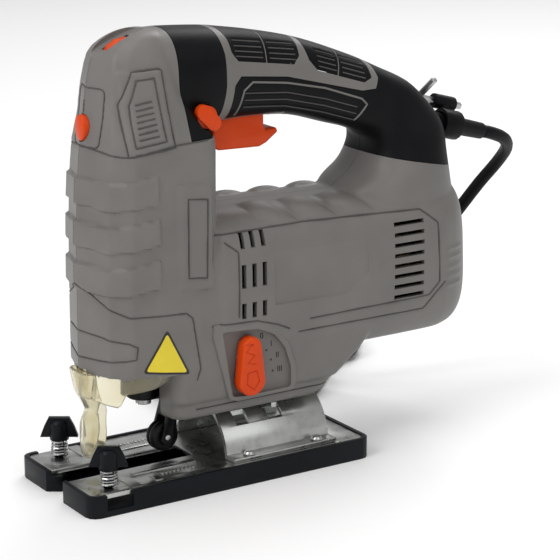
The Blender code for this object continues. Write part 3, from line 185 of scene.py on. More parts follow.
def plastic(name, dark, light, roughness, fine=1600.0, strength=0.25, distance=0.0002, gloss=0.4):
    made, tree, shader = newMaterial(name, roughness)
    shader.inputs["Specular IOR Level"].default_value = gloss
    group = tree.nodes.new("ShaderNodeGroup")
    group.node_tree = grain
    group.inputs["Fine"].default_value = fine
    tintBetween(tree, group, "Drift", dark, light, shader)
    spreadRoughness(tree, group, "Drift", shader, roughness - 0.05, roughness + 0.05)
    addBump(tree, group, "Height", shader, strength, distance)
    return made


def metal(name, dark, light, low, high, stretch, strength=0.15):
    made, tree, shader = newMaterial(name, low, 1.0)
    group = tree.nodes.new("ShaderNodeGroup")
    group.node_tree = marksGroup
    group.inputs["Stretch"].default_value = stretch
    tintBetween(tree, group, "Cloud", dark, light, shader)
    spreadRoughness(tree, group, "Cloud", shader, low, high)
    addBump(tree, group, "Height", shader, strength, 0.0001)
    return made


def clearPlastic():
    made, tree, shader = newMaterial("clearYellow", 0.08)
    shader.inputs["Base Color"].default_value = (0.93, 0.88, 0.66, 1)
    shader.inputs["Transmission Weight"].default_value = 0.85
    shader.inputs["IOR"].default_value = 1.45
    group = tree.nodes.new("ShaderNodeGroup")
    group.node_tree = grain
    group.inputs["Fine"].default_value = 300.0
    tintBetween(tree, group, "Drift", (0.80, 0.72, 0.46), (0.97, 0.94, 0.80), shader, 0.3, 0.7)
    addBump(tree, group, "Height", shader, 0.08, 0.0002)
    return made


finish = {
    "grey_plastic": plastic("greyHousing", (0.148, 0.140, 0.132), (0.168, 0.159, 0.150), 0.44, gloss=0.34),
    "black_rubber": plastic(
        "blackSoft", (0.0035, 0.0038, 0.0044), (0.0062, 0.0067, 0.0076), 0.44, 2200.0, gloss=0.1
    ),
    "black_plastic": plastic(
        "blackMoulded", (0.0030, 0.0040, 0.0056), (0.0055, 0.0070, 0.0092), 0.36, 1200.0, 0.2, gloss=0.13
    ),
    "orange_plastic": plastic(
        "orangeKeys", (0.60, 0.050, 0.003), (0.67, 0.060, 0.004), 0.32, 900.0, 0.1, gloss=0.2
    ),
    "clear_plastic": clearPlastic(),
    "zinc_steel": metal("zincPlate", (0.44, 0.45, 0.43), (0.54, 0.55, 0.53), 0.24, 0.36, (700, 50, 700)),
    "steel": metal("brightSteel", (0.42, 0.42, 0.42), (0.60, 0.60, 0.60), 0.25, 0.4, (900, 900, 80)),
    "black_steel": metal(
        "blackenedSteel", (0.012, 0.012, 0.013), (0.03, 0.03, 0.03), 0.34, 0.5, (500, 500, 500)
    ),
    "laminated_iron": metal(
        "stackedSheet", (0.14, 0.14, 0.145), (0.3, 0.3, 0.31), 0.4, 0.6, (20, 2200, 20), 0.5
    ),
    "copper": metal("copperBars", (0.55, 0.24, 0.12), (0.78, 0.38, 0.22), 0.25, 0.4, (900, 60, 900)),
    "brass": metal("turnedBrass", (0.60, 0.42, 0.15), (0.78, 0.58, 0.26), 0.25, 0.4, (80, 80, 1400)),
    "carbon": plastic("pressedCarbon", (0.012, 0.012, 0.012), (0.035, 0.035, 0.036), 0.6, 1800.0),
    "cast_alloy": metal("castAlloy", (0.33, 0.33, 0.34), (0.5, 0.5, 0.51), 0.45, 0.6, (400, 400, 400), 0.4),
    "circuit_board": plastic("boardResin", (0.02, 0.12, 0.04), (0.03, 0.17, 0.06), 0.4, 900.0),
}
yellowPaint = plastic("yellowLabel", (0.70, 0.55, 0.02), (0.78, 0.62, 0.03), 0.35, 500.0, 0.03)
# dark grey for the tubes laid in the grooves: painted shade, not the housing's own colour
seamShade = plastic("seamShade", (0.055, 0.051, 0.048), (0.075, 0.069, 0.065), 0.6)
darkInk = plastic("darkInk", (0.012, 0.011, 0.010), (0.02, 0.018, 0.017), 0.4, 500.0, 0.03)
say("materials")


# modelling helpers

def deselectAll():
    for item in bpy.context.view_layer.objects:
        item.select_set(False)


def activate(piece):
    deselectAll()
    piece.select_set(True)
    bpy.context.view_layer.objects.active = piece


def dropIn(name, mesh):
    made = bpy.data.objects.new(name, mesh)
    bpy.context.scene.collection.objects.link(made)
    return made


def fromFaces(name, points, faces):
    mesh = bpy.data.meshes.new(name)
    mesh.from_pydata([tuple(p) for p in points], [], faces)
    made = dropIn(name, mesh)
    tidyNormals(made)
    return made


def tidyNormals(piece, merge=1e-6):
    activate(piece)
    bpy.ops.object.mode_set(mode="EDIT")
    bpy.ops.mesh.select_all(action="SELECT")
    bpy.ops.mesh.remove_doubles(threshold=merge)
    bpy.ops.mesh.normals_make_consistent(inside=False)
    bpy.ops.object.mode_set(mode="OBJECT")


def applyAll(piece):
    activate(piece)
    for modifier in list(piece.modifiers):
        bpy.ops.object.modifier_apply(modifier=modifier.name)


def remove(*pieces):
    for piece in pieces:
        bpy.data.objects.remove(piece, do_unlink=True)


def combine(target, others, operation="DIFFERENCE"):
    for other in others:
        modifier = target.modifiers.new(operation.lower(), "BOOLEAN")
        modifier.operation = operation
        modifier.solver = "EXACT"
        modifier.object = other
    applyAll(target)
    remove(*others)
    return target


def copyOf(piece, name):
    return dropIn(name, piece.data.copy())


def joinAll(pieces, name):
    activate(pieces[0])
    for piece in pieces:
        piece.select_set(True)
    bpy.ops.object.join()
    pieces[0].name = name
    return pieces[0]


def bevelEdges(piece, width, segments=2, angle=32):
    modifier = piece.modifiers.new("edge", "BEVEL")
    modifier.width = width * 0.001
    modifier.segments = segments
    modifier.limit_method = "ANGLE"
    modifier.angle_limit = math.radians(angle)
    modifier.use_clamp_overlap = True
    modifier.harden_normals = False
    applyAll(piece)
    return piece


def smoothBy(piece, angle=35):
    activate(piece)
    bpy.ops.object.shade_smooth_by_angle(angle=math.radians(angle))
    return piece


def finishPiece(piece, body, slot, *nodes, angle=35):
    smoothBy(piece, angle)
    if not piece.data.materials:
        piece.data.materials.append(finish[slot])
    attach(piece, body)
    if nodes:
        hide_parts(*nodes)
    return piece


def loft(name, rings):
    count = len(rings[0])
    points = [p for ring in rings for p in ring]
    faces = []
    for r in range(len(rings) - 1):
        for k in range(count):
            n = (k + 1) % count
            faces.append((r * count + k, r * count + n, (r + 1) * count + n, (r + 1) * count + k))
    faces.append(tuple(range(count)))
    faces.append(tuple(range((len(rings) - 1) * count, len(rings) * count)))
    return fromFaces(name, points, faces)


def easedRows(rows, steps):
    # more rows between the given ones, on a smooth curve through each column
    table = np.array(rows, dtype=float)
    last = len(table) - 1
    out = []
    for k in range(last):
        a, b = table[max(k - 1, 0)], table[k]
        c, d = table[k + 1], table[min(k + 2, last)]
        for i in range(steps):
            t = i / steps
            square = (2 * a - 5 * b + 4 * c - d) * t**2
            cube = (3 * b - a - 3 * c + d) * t**3
            out.append(0.5 * (2 * b + (c - a) * t + square + cube))
    out.append(table[last])
    return out


def prismX(name, outline, low, high):
    # a (behind, up) outline pushed across the tool from x = low to x = high
    count = len(outline)
    points = [at(low, b, u) for b, u in outline] + [at(high, b, u) for b, u in outline]
    faces = [tuple(range(count)), tuple(range(count, 2 * count))]
    for k in range(count):
        n = (k + 1) % count
        faces.append((k, n, count + n, count + k))
    return fromFaces(name, points, faces)


def boxOf(name, low, high):
    deselectAll()
    a, b = at(*low), at(*high)
    bpy.ops.mesh.primitive_cube_add(size=1, location=(a + b) / 2)
    made = bpy.context.object
    made.name = name
    made.scale = [abs(v) for v in (b - a)]
    bpy.ops.object.transform_apply(location=True, rotation=True, scale=True)
    return made


def rodOf(name, start, end, radius, sides=32):
    reach = end - start
    deselectAll()
    bpy.ops.mesh.primitive_cone_add(
        vertices=sides,
        radius1=radius * 0.001,
        radius2=radius * 0.001,
        depth=reach.length,
        location=(start + end) / 2,
        rotation=reach.to_track_quat("Z", "Y").to_euler(),
    )
    made = bpy.context.object
    made.name = name
    bpy.ops.object.transform_apply(location=True, rotation=True, scale=True)
    return made


def tubeAlong(name, points, radius, cyclic=False, sides=6):
    # a closed tube through points, made from a curve
    curve = bpy.data.curves.new(name, "CURVE")
    curve.dimensions = "3D"
    curve.bevel_depth = radius * 0.001
    curve.bevel_resolution = max(0, sides // 2 - 2)
    curve.use_fill_caps = True
    line = curve.splines.new("POLY")
    line.points.add(len(points) - 1)
    line.use_cyclic_u = cyclic
    for target, p in zip(line.points, points):
        target.co = (*p, 1)
    made = dropIn(name, curve)
    activate(made)
    bpy.ops.object.convert(target="MESH")
    made = bpy.context.object
    tidyNormals(made, 1e-7)
    return made


# camera, light and floor

cameraView = {"place": (0.8735, -0.5169, 0.3766), "forward": (-0.80895, 0.52534, -0.26387), "lens": 134.36}


def makeStage():
    camera = bpy.data.cameras.new("camera")
    camera.lens = cameraView["lens"]
    camera.sensor_width = 36.0
    camera.clip_start = 0.01
    holder = bpy.data.objects.new("camera", camera)
    holder.location = cameraView["place"]
    holder.rotation_euler = Vector(cameraView["forward"]).to_track_quat("-Z", "Y").to_euler()
    bpy.context.scene.collection.objects.link(holder)
    bpy.context.scene.camera = holder
    deselectAll()
    bpy.ops.mesh.primitive_plane_add(size=14, location=(0, 0, 0))
    floor = bpy.context.object
    floor.name = "floor"
    paint, tree, shader = newMaterial("paleFloor", 0.6)
    shader.inputs["Base Color"].default_value = (0.97, 0.97, 0.968, 1)
    floor.data.materials.append(paint)
    world = bpy.data.worlds.new("studio")
    world.use_nodes = True
    world.node_tree.nodes["Background"].inputs["Color"].default_value = (1, 1, 1, 1)
    world.node_tree.nodes["Background"].inputs["Strength"].default_value = 0.5
    bpy.context.scene.world = world
    bpy.context.scene.view_settings.view_transform = "Standard"
    lamps = {
        "key": ((0.3, -1.6, 1.5), 1.1, 19),
        "side": ((1.7, 0.5, 1.3), 1.2, 5),
        "back": ((-0.9, 1.3, 1.5), 1.0, 12),
        "top": ((0.0, 0.1, 2.2), 1.6, 13),
    }
    for name, (place, size, power) in lamps.items():
        lamp = bpy.data.lights.new(name, "AREA")
        lamp.shape = "SQUARE"
        lamp.size = size
        lamp.energy = power
        item = bpy.data.objects.new(name, lamp)
        item.location = place
        item.rotation_euler = (Vector((0, 0.02, 0.1)) - Vector(place)).to_track_quat("-Z", "Y").to_euler()
        bpy.context.scene.collection.objects.link(item)


makeStage()
say("stage")


# mains lead, made first

leadPlan = {
    "relief": (208.6, 170.7),
    "tilt": math.radians(-15.2),
    "diameter": 7.0,
    "coil": (-102.0, 168.0),
    "turn": 33.0,
    "pitch": 7.2,
    "tailTurn": math.radians(135),
    "tailFoot": (-68.5, 201.5),
    "free": [
        (0.0, 263.0, 155.93), (0.0, 270.0, 154.04), (-3.0, 281.0, 149.4), (-11.0, 289.5, 142.0),
        (-22.0, 292.0, 131.5), (-32.5, 288.5, 118.5), (-41.0, 281.5, 103.0), (-48.0, 272.0, 86.5),
        (-53.5, 261.0, 70.0), (-58.0, 249.0, 54.0), (-62.5, 237.0, 40.0), (-68.5, 226.0, 28.8),
        (-78.0, 216.8, 21.6), (-90.0, 210.3, 18.4),
    ],
}


def reliefSpot(along, over=0.0, x=0.0):
    tilt = leadPlan["tilt"]
    behind = leadPlan["relief"][0] + along * math.cos(tilt) - over * math.sin(tilt)
    up = leadPlan["relief"][1] + along * math.sin(tilt) + over * math.cos(tilt)
    return at(x, behind, up)


def tailSpot(along, across, up):
    turn = leadPlan["tailTurn"]
    x = leadPlan["tailFoot"][0] + along * math.cos(turn) - across * math.sin(turn)
    behind = leadPlan["tailFoot"][1] + along * math.sin(turn) + across * math.cos(turn)
    return at(x, behind, up)


def coilPoints():
    # down from the top turn, in along the top layer and out along the bottom one
    cx, cy = leadPlan["coil"]
    pitch, inner = leadPlan["pitch"], leadPlan["turn"]
    stations = [
        (90, inner + pitch, 18.0), (430, inner + pitch, 17.6), (560, inner + 2 * pitch, 10.9),
        (890, inner + 2 * pitch, 10.7), (950, inner + pitch, 10.7), (1250, inner + pitch, 10.7),
        (1310, inner, 10.7), (1600, inner, 10.7), (1700, inner, 3.6), (1990, inner, 3.6),
        (2050, inner + pitch, 3.6), (2350, inner + pitch, 3.6), (2410, inner + 2 * pitch, 3.6),
        (2565, inner + 2 * pitch, 3.6),
    ]
    points = []
    angle, last = stations[0][0], stations[-1][0]
    while angle <= last:
        for a, b in zip(stations, stations[1:]):
            if a[0] <= angle <= b[0]:
                t = (angle - a[0]) / (b[0] - a[0])
                t = t * t * (3 - 2 * t)
                radius, up = a[1] + (b[1] - a[1]) * t, a[2] + (b[2] - a[2]) * t
                break
        turn = math.radians(angle)
        points.append(at(cx + radius * math.cos(turn), cy + radius * math.sin(turn), up))
        angle += 15.0
    return points


def makeLead():
    start = reliefSpot(56.0)
    free = [start] + [at(*p) for p in leadPlan["free"]]
    coil = coilPoints()
    tail = [tailSpot(t, 0, z) for t, z in ((14.0, 3.6), (28.0, 4.2), (37.0, 6.8), (44.0, 7.7), (46.5, 7.7))]
    route = free + coil + tail
    spots = easedRows([tuple(p) for p in route], 3)
    curve = bpy.data.curves.new("mainsLead", "CURVE")
    curve.dimensions = "3D"
    curve.bevel_depth = leadPlan["diameter"] / 2000
    curve.bevel_resolution = 4
    curve.use_fill_caps = True
    line = curve.splines.new("POLY")
    line.points.add(len(spots) - 1)
    for target, p in zip(line.points, spots):
        target.co = (*p, 1)
    lead = dropIn("mainsLead", curve)
    curve.materials.append(finish["black_rubber"])
    length = sum(math.dist(a, b) for a, b in zip(spots, spots[1:]))
    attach(lead, "housing")
    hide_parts("cord_lead", "cord_coil", "cord_tail")
    return lead, start, length


lead, leadStart, leadLength = makeLead()
say("mains lead")


# body

bodyPlan = {
    "voxel": 0.00115,
    "wall": 2.6,
    "noseRings": [
        (63.5, 15.4, 80, 29.6), (66, 15, 80, 30), (124, 15.4, 80, 30), (157, 16.9, 80, 30),
        (173, 18.3, 80, 30), (179, 19, 79, 28.6), (187, 20.2, 72, 26.3), (200, 22, 64, 23.6),
        (213, 24.6, 62, 21), (219.2, 27.4, 60, 18.8), (223.6, 33, 59, 16), (226.8, 40.3, 58, 13),
        (228.6, 47, 57, 8),
    ],
    "motorRings": [
        (60, 131, 60, 62, 0.85), (78, 137.6, 78, 58, 0.95), (86, 138.6, 86, 57, 1), (150, 137.2, 150, 56, 1),
        (204, 138, 206, 56, 1), (221, 138, 223, 56.5, 0.906), (231, 135.5, 233.5, 60, 0.727),
        (237.5, 124, 240, 68, 0.515), (241.8, 108, 244, 78, 0.273),
    ],
    "blockRings": [
        (36, 55.5, 141, 25.5), (38, 54, 143.5, 27), (44.8, 54, 150.5, 27.6), (45.6, 53.6, 151.5, 29.6),
        (58, 53.6, 166.5, 30), (64, 53.6, 172, 30), (80, 53.6, 172, 30),
    ],
    "handleRings": [
        (50, 227.6, 56, 182, 19), (61, 228.8, 63, 180, 21), (86, 227.5, 84, 179.5, 21.5),
        (97.5, 226.1, 94, 180, 19),
        (117.5, 222.8, 110, 180.5, 17.8), (142.7, 217, 134, 179, 17.8), (171.6, 206.6, 157, 172.5, 18),
        (189, 198.9, 169.5, 168.9, 19), (205.8, 190.8, 180, 164.3, 21), (217, 180.5, 182.2, 160, 23),
        (226.5, 168, 181.2, 154, 25), (229.5, 152, 176, 146, 27), (232, 140, 165, 138, 28.5),
        (235, 126, 160, 128, 28.5),
    ],
}


def between(a, b, count):
    return [(a[0] + (b[0] - a[0]) * i / count, a[1] + (b[1] - a[1]) * i / count) for i in range(count)]


def noseRing(up, front, rear, half):
    s = half / 30
    depth = min(30.0, (rear - front) * 0.62) / 30
    a, b = (0, front), (21 * s, front + 6.6 * depth)
    c, d = (28 * s, front + 15.6 * depth), (half, front + 30 * depth)
    r = min(8.0, half * 0.4)
    side = between(a, b, 8) + between(b, c, 5) + between(c, d, 6) + between(d, (half, rear - r), 6)
    for t in range(0, 90, 15):
        turn = math.radians(t)
        side.append((half - r + r * math.cos(turn), rear - r + r * math.sin(turn)))
    side += between((half - r, rear), (0, rear), 5) + [(0, rear)]
    left = [(-x, y) for x, y in side[-2:0:-1]]
    return [at(x, y, up) for x, y in side + left]


def ovalRing(top, low, half, power, count=56):
    middle = ((top[0] + low[0]) / 2, (top[1] + low[1]) / 2)
    reach = ((top[0] - low[0]) / 2, (top[1] - low[1]) / 2)
    ring = []
    for k in range(count):
        t = math.tau * k / count
        c, s = math.cos(t), math.sin(t)
        x = half * math.copysign(abs(c) ** (2 / power), c)
        v = math.copysign(abs(s) ** (2 / power), s)
        ring.append(at(x, middle[0] + reach[0] * v, middle[1] + reach[1] * v))
    return ring


def blockRing(up, front, rear, half, r=7.0):
    ring = []
    corners = (
        (half - r, rear - r, 0), (-half + r, rear - r, 90),
        (-half + r, front + r, 180), (half - r, front + r, 270),
    )
    for cx, cy, start in corners:
        for t in range(0, 91, 18):
            a = math.radians(start + t)
            ring.append(at(cx + r * math.cos(a), cy + r * math.sin(a), up))
    return ring


def voxelRemesh(piece, size, smoothing=0):
    modifier = piece.modifiers.new("remesh", "REMESH")
    modifier.mode = "VOXEL"
    modifier.voxel_size = size
    if smoothing:
        soften = piece.modifiers.new("soften", "SMOOTH")
        soften.factor = 0.5
        soften.iterations = smoothing
    applyAll(piece)
    return piece


def bodyLofts():
    nose = loft("nose", [noseRing(*row) for row in easedRows(bodyPlan["noseRings"], 3)])
    motor = loft(
        "motor",
        [ovalRing(row[:2], row[2:4], 33 * row[4], 3.6) for row in easedRows(bodyPlan["motorRings"], 4)],
    )
    block = loft("block", [blockRing(*row) for row in bodyPlan["blockRings"]])
    handle = loft(
        "handle",
        [ovalRing(row[:2], row[2:4], row[4], 2.7) for row in easedRows(bodyPlan["handleRings"], 4)],
    )
    return joinAll([nose, motor, block, handle], "outer")


def ramp(value, low, high, soft):
    # 1 between low and high, falling to 0 over soft
    return np.clip((value - low) / soft + 0.5, 0, 1) * np.clip((high - value) / soft + 0.5, 0, 1)


raisePlan = {
    "bands": ((146.3, 159), (125.9, 138.1), (104.6, 117.8)),
    "bandLift": 1.6,
    "padLift": 1.2,
    "bulges": (107, 130, 153),
    "bulgeLift": 2.1,
    "backRibs": (103, 98.4, 93, 88.3, 83.3),
    "backRibLift": 0.7,
    "panelLift": 0.55,
}


def raiseDetails(piece):
    # bands round the front, side pads, bulges over the fan, ribs at the back and the nose panel
    mesh = piece.data
    count = len(mesh.vertices)
    co = np.empty(count * 3)
    no = np.empty(count * 3)
    mesh.vertices.foreach_get("co", co)
    mesh.vertices.foreach_get("normal", no)
    co, no = co.reshape(-1, 3), no.reshape(-1, 3)
    x, y, z = co[:, 0] * 1000, co[:, 1] * 1000 + soleLength / 2, co[:, 2] * 1000
    lift = np.zeros(count)
    around = np.clip(1 - np.abs(x) / 28, 0, 1)
    slope = z - 0.17 * (y - 28) - 3.0 * around
    for low, high in raisePlan["bands"]:
        band = raisePlan["bandLift"] * ramp(slope, low, high, 0.7)
        lift += band * ramp(y, 0, 45, 0.7) * (no[:, 2] < 0.6)
    pad = ramp(z, 104.5 - 0.07 * (y - 55), 156.5 - 0.1 * (y - 55), 0.8) * ramp(y, 55.5, 74, 0.8)
    lift += raisePlan["padLift"] * pad * (np.abs(no[:, 0]) > 0.7)
    slant = y - 1.1 * (139 - z)
    for middle in raisePlan["bulges"]:
        dome = np.clip(1 - ((slant - middle) / 8.5) ** 2, 0, 1) ** 0.7
        lift += (
            raisePlan["bulgeLift"] * dome * ramp(z, 129, 145, 3)
            * np.clip((y - 86) / 4, 0, 1) * np.clip((np.abs(x) - 9) / 3, 0, 1)
        )
    for middle in raisePlan["backRibs"]:
        rib = raisePlan["backRibLift"] * np.clip(1 - np.abs(z - middle) / 1.7, 0, 1)
        lift += rib * ramp(y, 217, 231, 3)
    co += no * lift[:, None] * 0.001
    panel = ramp(z, 172.5, 211.5, 0.8) * ramp(y, 31 + 0.02 * (200 - z), 54.5 - 0.06 * (z - 175), 0.8)
    lift = raisePlan["panelLift"] * panel * (np.abs(no[:, 0]) > 0.55) * (z > 174) * (z < 212)
    co += no * lift[:, None] * 0.001
    mesh.vertices.foreach_set("co", co.reshape(-1))
    mesh.update()


def makeOuter():
    outer = voxelRemesh(bodyLofts(), bodyPlan["voxel"], 2)
    inner = copyOf(outer, "inner")
    raiseDetails(outer)
    shrink = inner.modifiers.new("shrink", "DISPLACE")
    shrink.mid_level = 0
    shrink.strength = -bodyPlan["wall"] * 0.001
    applyAll(inner)
    voxelRemesh(inner, 0.0028, 1)
    return outer, inner


outer, inner = makeOuter()
skin = BVHTree.FromObject(outer, bpy.context.evaluated_depsgraph_get())
say("outer skin")


def denser(points, step, closed):
    # more points between the given ones, about step apart
    out = []
    ends = points[1:] + points[:1] if closed else points[1:]
    for a, b in zip(points, ends):
        count = max(1, int(math.dist(a, b) / step))
        out += [tuple(a[k] + (b[k] - a[k]) * i / count for k in range(len(a))) for i in range(count)]
    if not closed:
        out.append(points[-1])
    return out


def laidOnSide(outline, side=1, closed=True, step=1.2):
    # (behind, up) points thrown on the skin from one side
    found = []
    for b, u in denser(outline, step, closed):
        hit = skin.ray_cast(at(80 * side, b, u), Vector((-side, 0, 0)))[0]
        if hit:
            found.append(hit)
    return found


def laidRound(line, step=1.5):
    # (x, behind, up) points thrown on the skin towards an upright axis inside the nose
    found = []
    for x, b, u in denser(line, step, False):
        centre = at(0, 55, u)
        way = at(x, b, u) - centre
        hit = skin.ray_cast(centre + way.normalized() * 0.12, -way.normalized())[0]
        if hit:
            found.append(hit)
    return found


def laidOnFront(outline, step=1.5):
    found = []
    for x, u in denser(outline, step, True):
        hit = skin.ray_cast(at(x, -40, u), Vector((0, 1, 0)))[0]
        if hit:
            found.append(hit)
    return found


# cuts in the housing

cutPlan = {
    "fanSlots": [(90.6, 2.6), (96.6, 2.6), (102.6, 2.6)],
    "fanRows": [(120.8, 128.6), (101.0, 113.0), (85.4, 93.4)],
    "brushSlots": [82.4 + 5.5 * k for k in range(8)],
    "knobRecess": [
        (78.7, 80.2), (98.4, 79.2), (108.8, 74.6), (115.5, 66.9), (119.3, 55.7), (119.3, 45),
        (91.6, 44.8), (84.6, 45.4),
    ],
    "knobFrame": [
        (74.2, 84), (78, 84.6), (98.6, 82.8), (110.6, 77.8), (118.2, 68.6), (122.6, 55.5),
        (122.4, 46), (120, 42.9), (88, 42.6), (83, 44), (73.8, 78),
    ],
    "panel": [(108, 117.7), (165, 116.6), (166, 98.3), (152.7, 89), (108.5, 89.7)],
    "screws": [(31, 197, 11), (28, 110, 15), (197, 183, 10), (223, 70, 14), (136, 47, 15)],
    "dial": (44.9, 211.1),
    "dialFloor": (40.2, 222.6),
    "dialSlope": math.radians(22.4),
    "lock": (76.1, 186.6),
    "holeRadius": 6.2,
    "wellRadius": 3.9,
    "bladeChannel": ((-12, 36, 20), (12, 74, 67)),
    "guardNotch": ((-4.7, 8, 60), (4.7, 23.4, 64.6)),
    "triggerSlot": ((-7.8, 87.5, 150), (7.8, 121.5, 188)),
    "laserHole": ((0, 29, 50), (0, 29, 70), 2.6),
}


def roundedCutter(name, outline, low, high, r):
    cutter = prismX(name, outline, low, high)
    bevelEdges(cutter, r, 3, 20)
    return cutter


def makeCutters():
    cuts = [boxOf(name, *cutPlan[name]) for name in ("bladeChannel", "guardNotch", "triggerSlot")]
    lockEnds = [at(x, *cutPlan["lock"]) for x in (10, 40)]
    cuts.append(rodOf("lockHole", *lockEnds, cutPlan["holeRadius"]))
    deselectAll()
    bpy.ops.mesh.primitive_cylinder_add(
        vertices=40, radius=1, depth=1, location=at(0, 18, 183.8), rotation=(math.pi / 2, 0, 0)
    )
    oval = bpy.context.object
    oval.scale = (0.0053, 0.0068, 0.030)
    bpy.ops.object.transform_apply(location=True, rotation=True, scale=True)
    cuts.append(oval)
    cuts.append(roundedCutter("knobRecess", cutPlan["knobRecess"], 28.3, 45, 1.6))
    cuts.append(roundedCutter("blankPanel", cutPlan["panel"], 32.2, 45, 1.2))
    cuts.append(roundedCutter("blankPanelFar", cutPlan["panel"], -45, -32.2, 1.2))
    for side in (-1, 1):
        low, high = (24, 45) if side > 0 else (-45, -24)
        for middle, width in cutPlan["fanSlots"]:
            for bottom, top in cutPlan["fanRows"]:
                w = width / 2
                slot = [(middle - w, bottom), (middle + w, bottom), (middle + w, top), (middle - w, top)]
                cuts.append(prismX("fanSlot", slot, low, high))
        for up in cutPlan["brushSlots"]:
            slot = [(182, up - 1.1), (201, up - 1.1), (201, up + 1.1), (182, up + 1.1)]
            cuts.append(prismX("brushSlot", slot, low, high))
    for behind, up, depth in cutPlan["screws"]:
        well = at(-45, behind, up), at(-depth - 0.4, behind, up)
        cuts.append(rodOf("screwWell", *well, cutPlan["wellRadius"]))
    cuts.append(rodOf("reliefHole", reliefSpot(-30), reliefSpot(80), cutPlan["holeRadius"]))
    low, high, radius = cutPlan["laserHole"]
    cuts.append(rodOf("laserHole", at(*low), at(*high), radius))
    return joinAll(cuts, "cuts")


def dialPocket():
    slope = cutPlan["dialSlope"]
    middle = at(0, cutPlan["dialFloor"][0], cutPlan["dialFloor"][1] + 0.2)
    deselectAll()
    bpy.ops.mesh.primitive_cylinder_add(vertices=64, radius=1, depth=1, location=(0, 0, 0))
    pocket = bpy.context.object
    pocket.scale = (0.0076, 0.0157, 0.014)
    bpy.ops.object.transform_apply(location=False, rotation=False, scale=True)
    pocket.data.transform(Matrix.Translation((0, 0, 0.007)))
    pocket.data.transform(Matrix.Rotation(slope, 4, "X"))
    pocket.data.transform(Matrix.Translation(middle))
    bevelEdges(pocket, 0.8, 3, 40)
    room = rodOf("dialRoom", at(-3.3, *cutPlan["dial"]), at(3.3, *cutPlan["dial"]), 14.7, sides=64)
    return pocket, room


def keepSolid():
    kept = [boxOf("dialBlock", (-17, 20, 205), (17, 62, 240))]
    for behind, up, depth in cutPlan["screws"]:
        kept.append(rodOf("boss", at(-48, behind, up), at(-1, behind, up), 5.6))
    kept.append(boxOf("lockBlock", (12, 66, 177), (40, 86.5, 196)))
    kept.append(boxOf("knobBlock", (25.5, 78, 42), (45, 127, 86)))
    for side in (-1, 1):
        kept.append(boxOf("panelBlock", (29.6 * side, 106, 87), (45 * side, 168, 120)))
    return joinAll(kept, "kept")


# (outline, closed) in behind and up
sideLines = [
    ([(36.4, 211.7), (50.4, 212.5), (52, 211.6), (54.7, 175.3), (31, 172.2), (29.6, 196.5)], True),
    ([(38.4, 207.6), (47.6, 208.2), (50.3, 178.7), (34.2, 176.6), (33.7, 196.3)], True),
    ([(60.5, 149.5), (71.4, 148.2), (70.7, 109), (60.4, 110.3)], True),
    (
        [
            (76.4, 129), (125, 129.4), (199.8, 126.8), (210.5, 118.7), (212.1, 86.8), (204.9, 80.4),
            (130, 79.3),
        ],
        False,
    ),
    ([(123.9, 73.2), (201.7, 73.3), (209, 80.4), (216, 86)], False),
    ([(80.9, 125.1), (88, 119.7), (87.9, 86.5)], False),
    ([(73.8, 83.2), (77.5, 84.1), (98.6, 83.2), (110.4, 79.4), (117.9, 76)], False),
    ([(66, 41.2), (146, 41.2)], False),
]
ribPlan = {
    "pads": [
        (95.5, 112, -0.139, 213.9), (116, 131.5, -0.139, 211), (145, 155.8, -0.309, 204.5),
        (159.5, 173.5, -0.309, 200),
    ],
    "padStep": 2.5,
    "panelDrops": (0, 3.6, 7.2),
    "noseStep": 2.7,
}
for start, end, slope, low in ribPlan["pads"]:
    for k in range(4):
        first = low + ribPlan["padStep"] * k
        sideLines.append(([(start, first), (end, first + slope * (end - start))], False))
for drop in ribPlan["panelDrops"]:
    panelRib = [(101, 195 - drop), (126, 193 - drop), (149, 187.5 - drop), (168, 181.5 - drop)]
    sideLines.append((panelRib, False))
for step in range(7):
    rise = step * ribPlan["noseStep"]
    sideLines.append(([(36.7, 180.1 + rise), (46.8 - 0.1 * rise, 181.4 + rise)], False))


groovePlan = {"depth": 0.55, "reach": 0.85, "farthest": 2.2, "shadeLine": 0.36, "sunk": 0.22}


def grooveRoutes():
    routes = []
    for side in (1, -1):
        for outline, closed in sideLines:
            routes.append((laidOnSide(outline, side, closed), closed))
    roundLines = [
        [(0, 10, 175.5), (20, 18, 173.4), (28, 24, 172.3), (34, 28, 172.4), (34, 52, 176), (34, 76, 177)],
        [
            (0, 10, 108), (18, 16, 100), (28, 27.8, 94.1), (34, 60, 92.5), (34, 63.9, 89.6),
            (34, 68.8, 63.2), (34, 66.4, 57.4),
        ],
        [
            (0, 10, 84), (18, 16, 83), (28, 28, 81), (31, 31, 79), (31, 30, 73), (26, 26, 72),
            (16, 15, 71), (0, 10, 70.5),
        ],
    ]
    for line in roundLines:
        across = [(-x, b, u) for x, b, u in line[:0:-1]] + line
        routes.append((laidRound(across), False))
    corner = []
    for cx, cz, start in ((9, 200, 0), (-9, 200, 90), (-9, 178, 180), (9, 178, 270)):
        for t in range(0, 91, 30):
            turn = math.radians(start + t)
            corner.append((cx + 3 * math.cos(turn), cz + 3 * math.sin(turn)))
    routes.append((laidOnFront(corner), True))
    noseHits = [skin.ray_cast(at(0, -40, u), Vector((0, 1, 0)))[0] for u in (191.5, 193, 195, 197)]
    routes.append(([p for p in noseHits if p], False))
    return routes


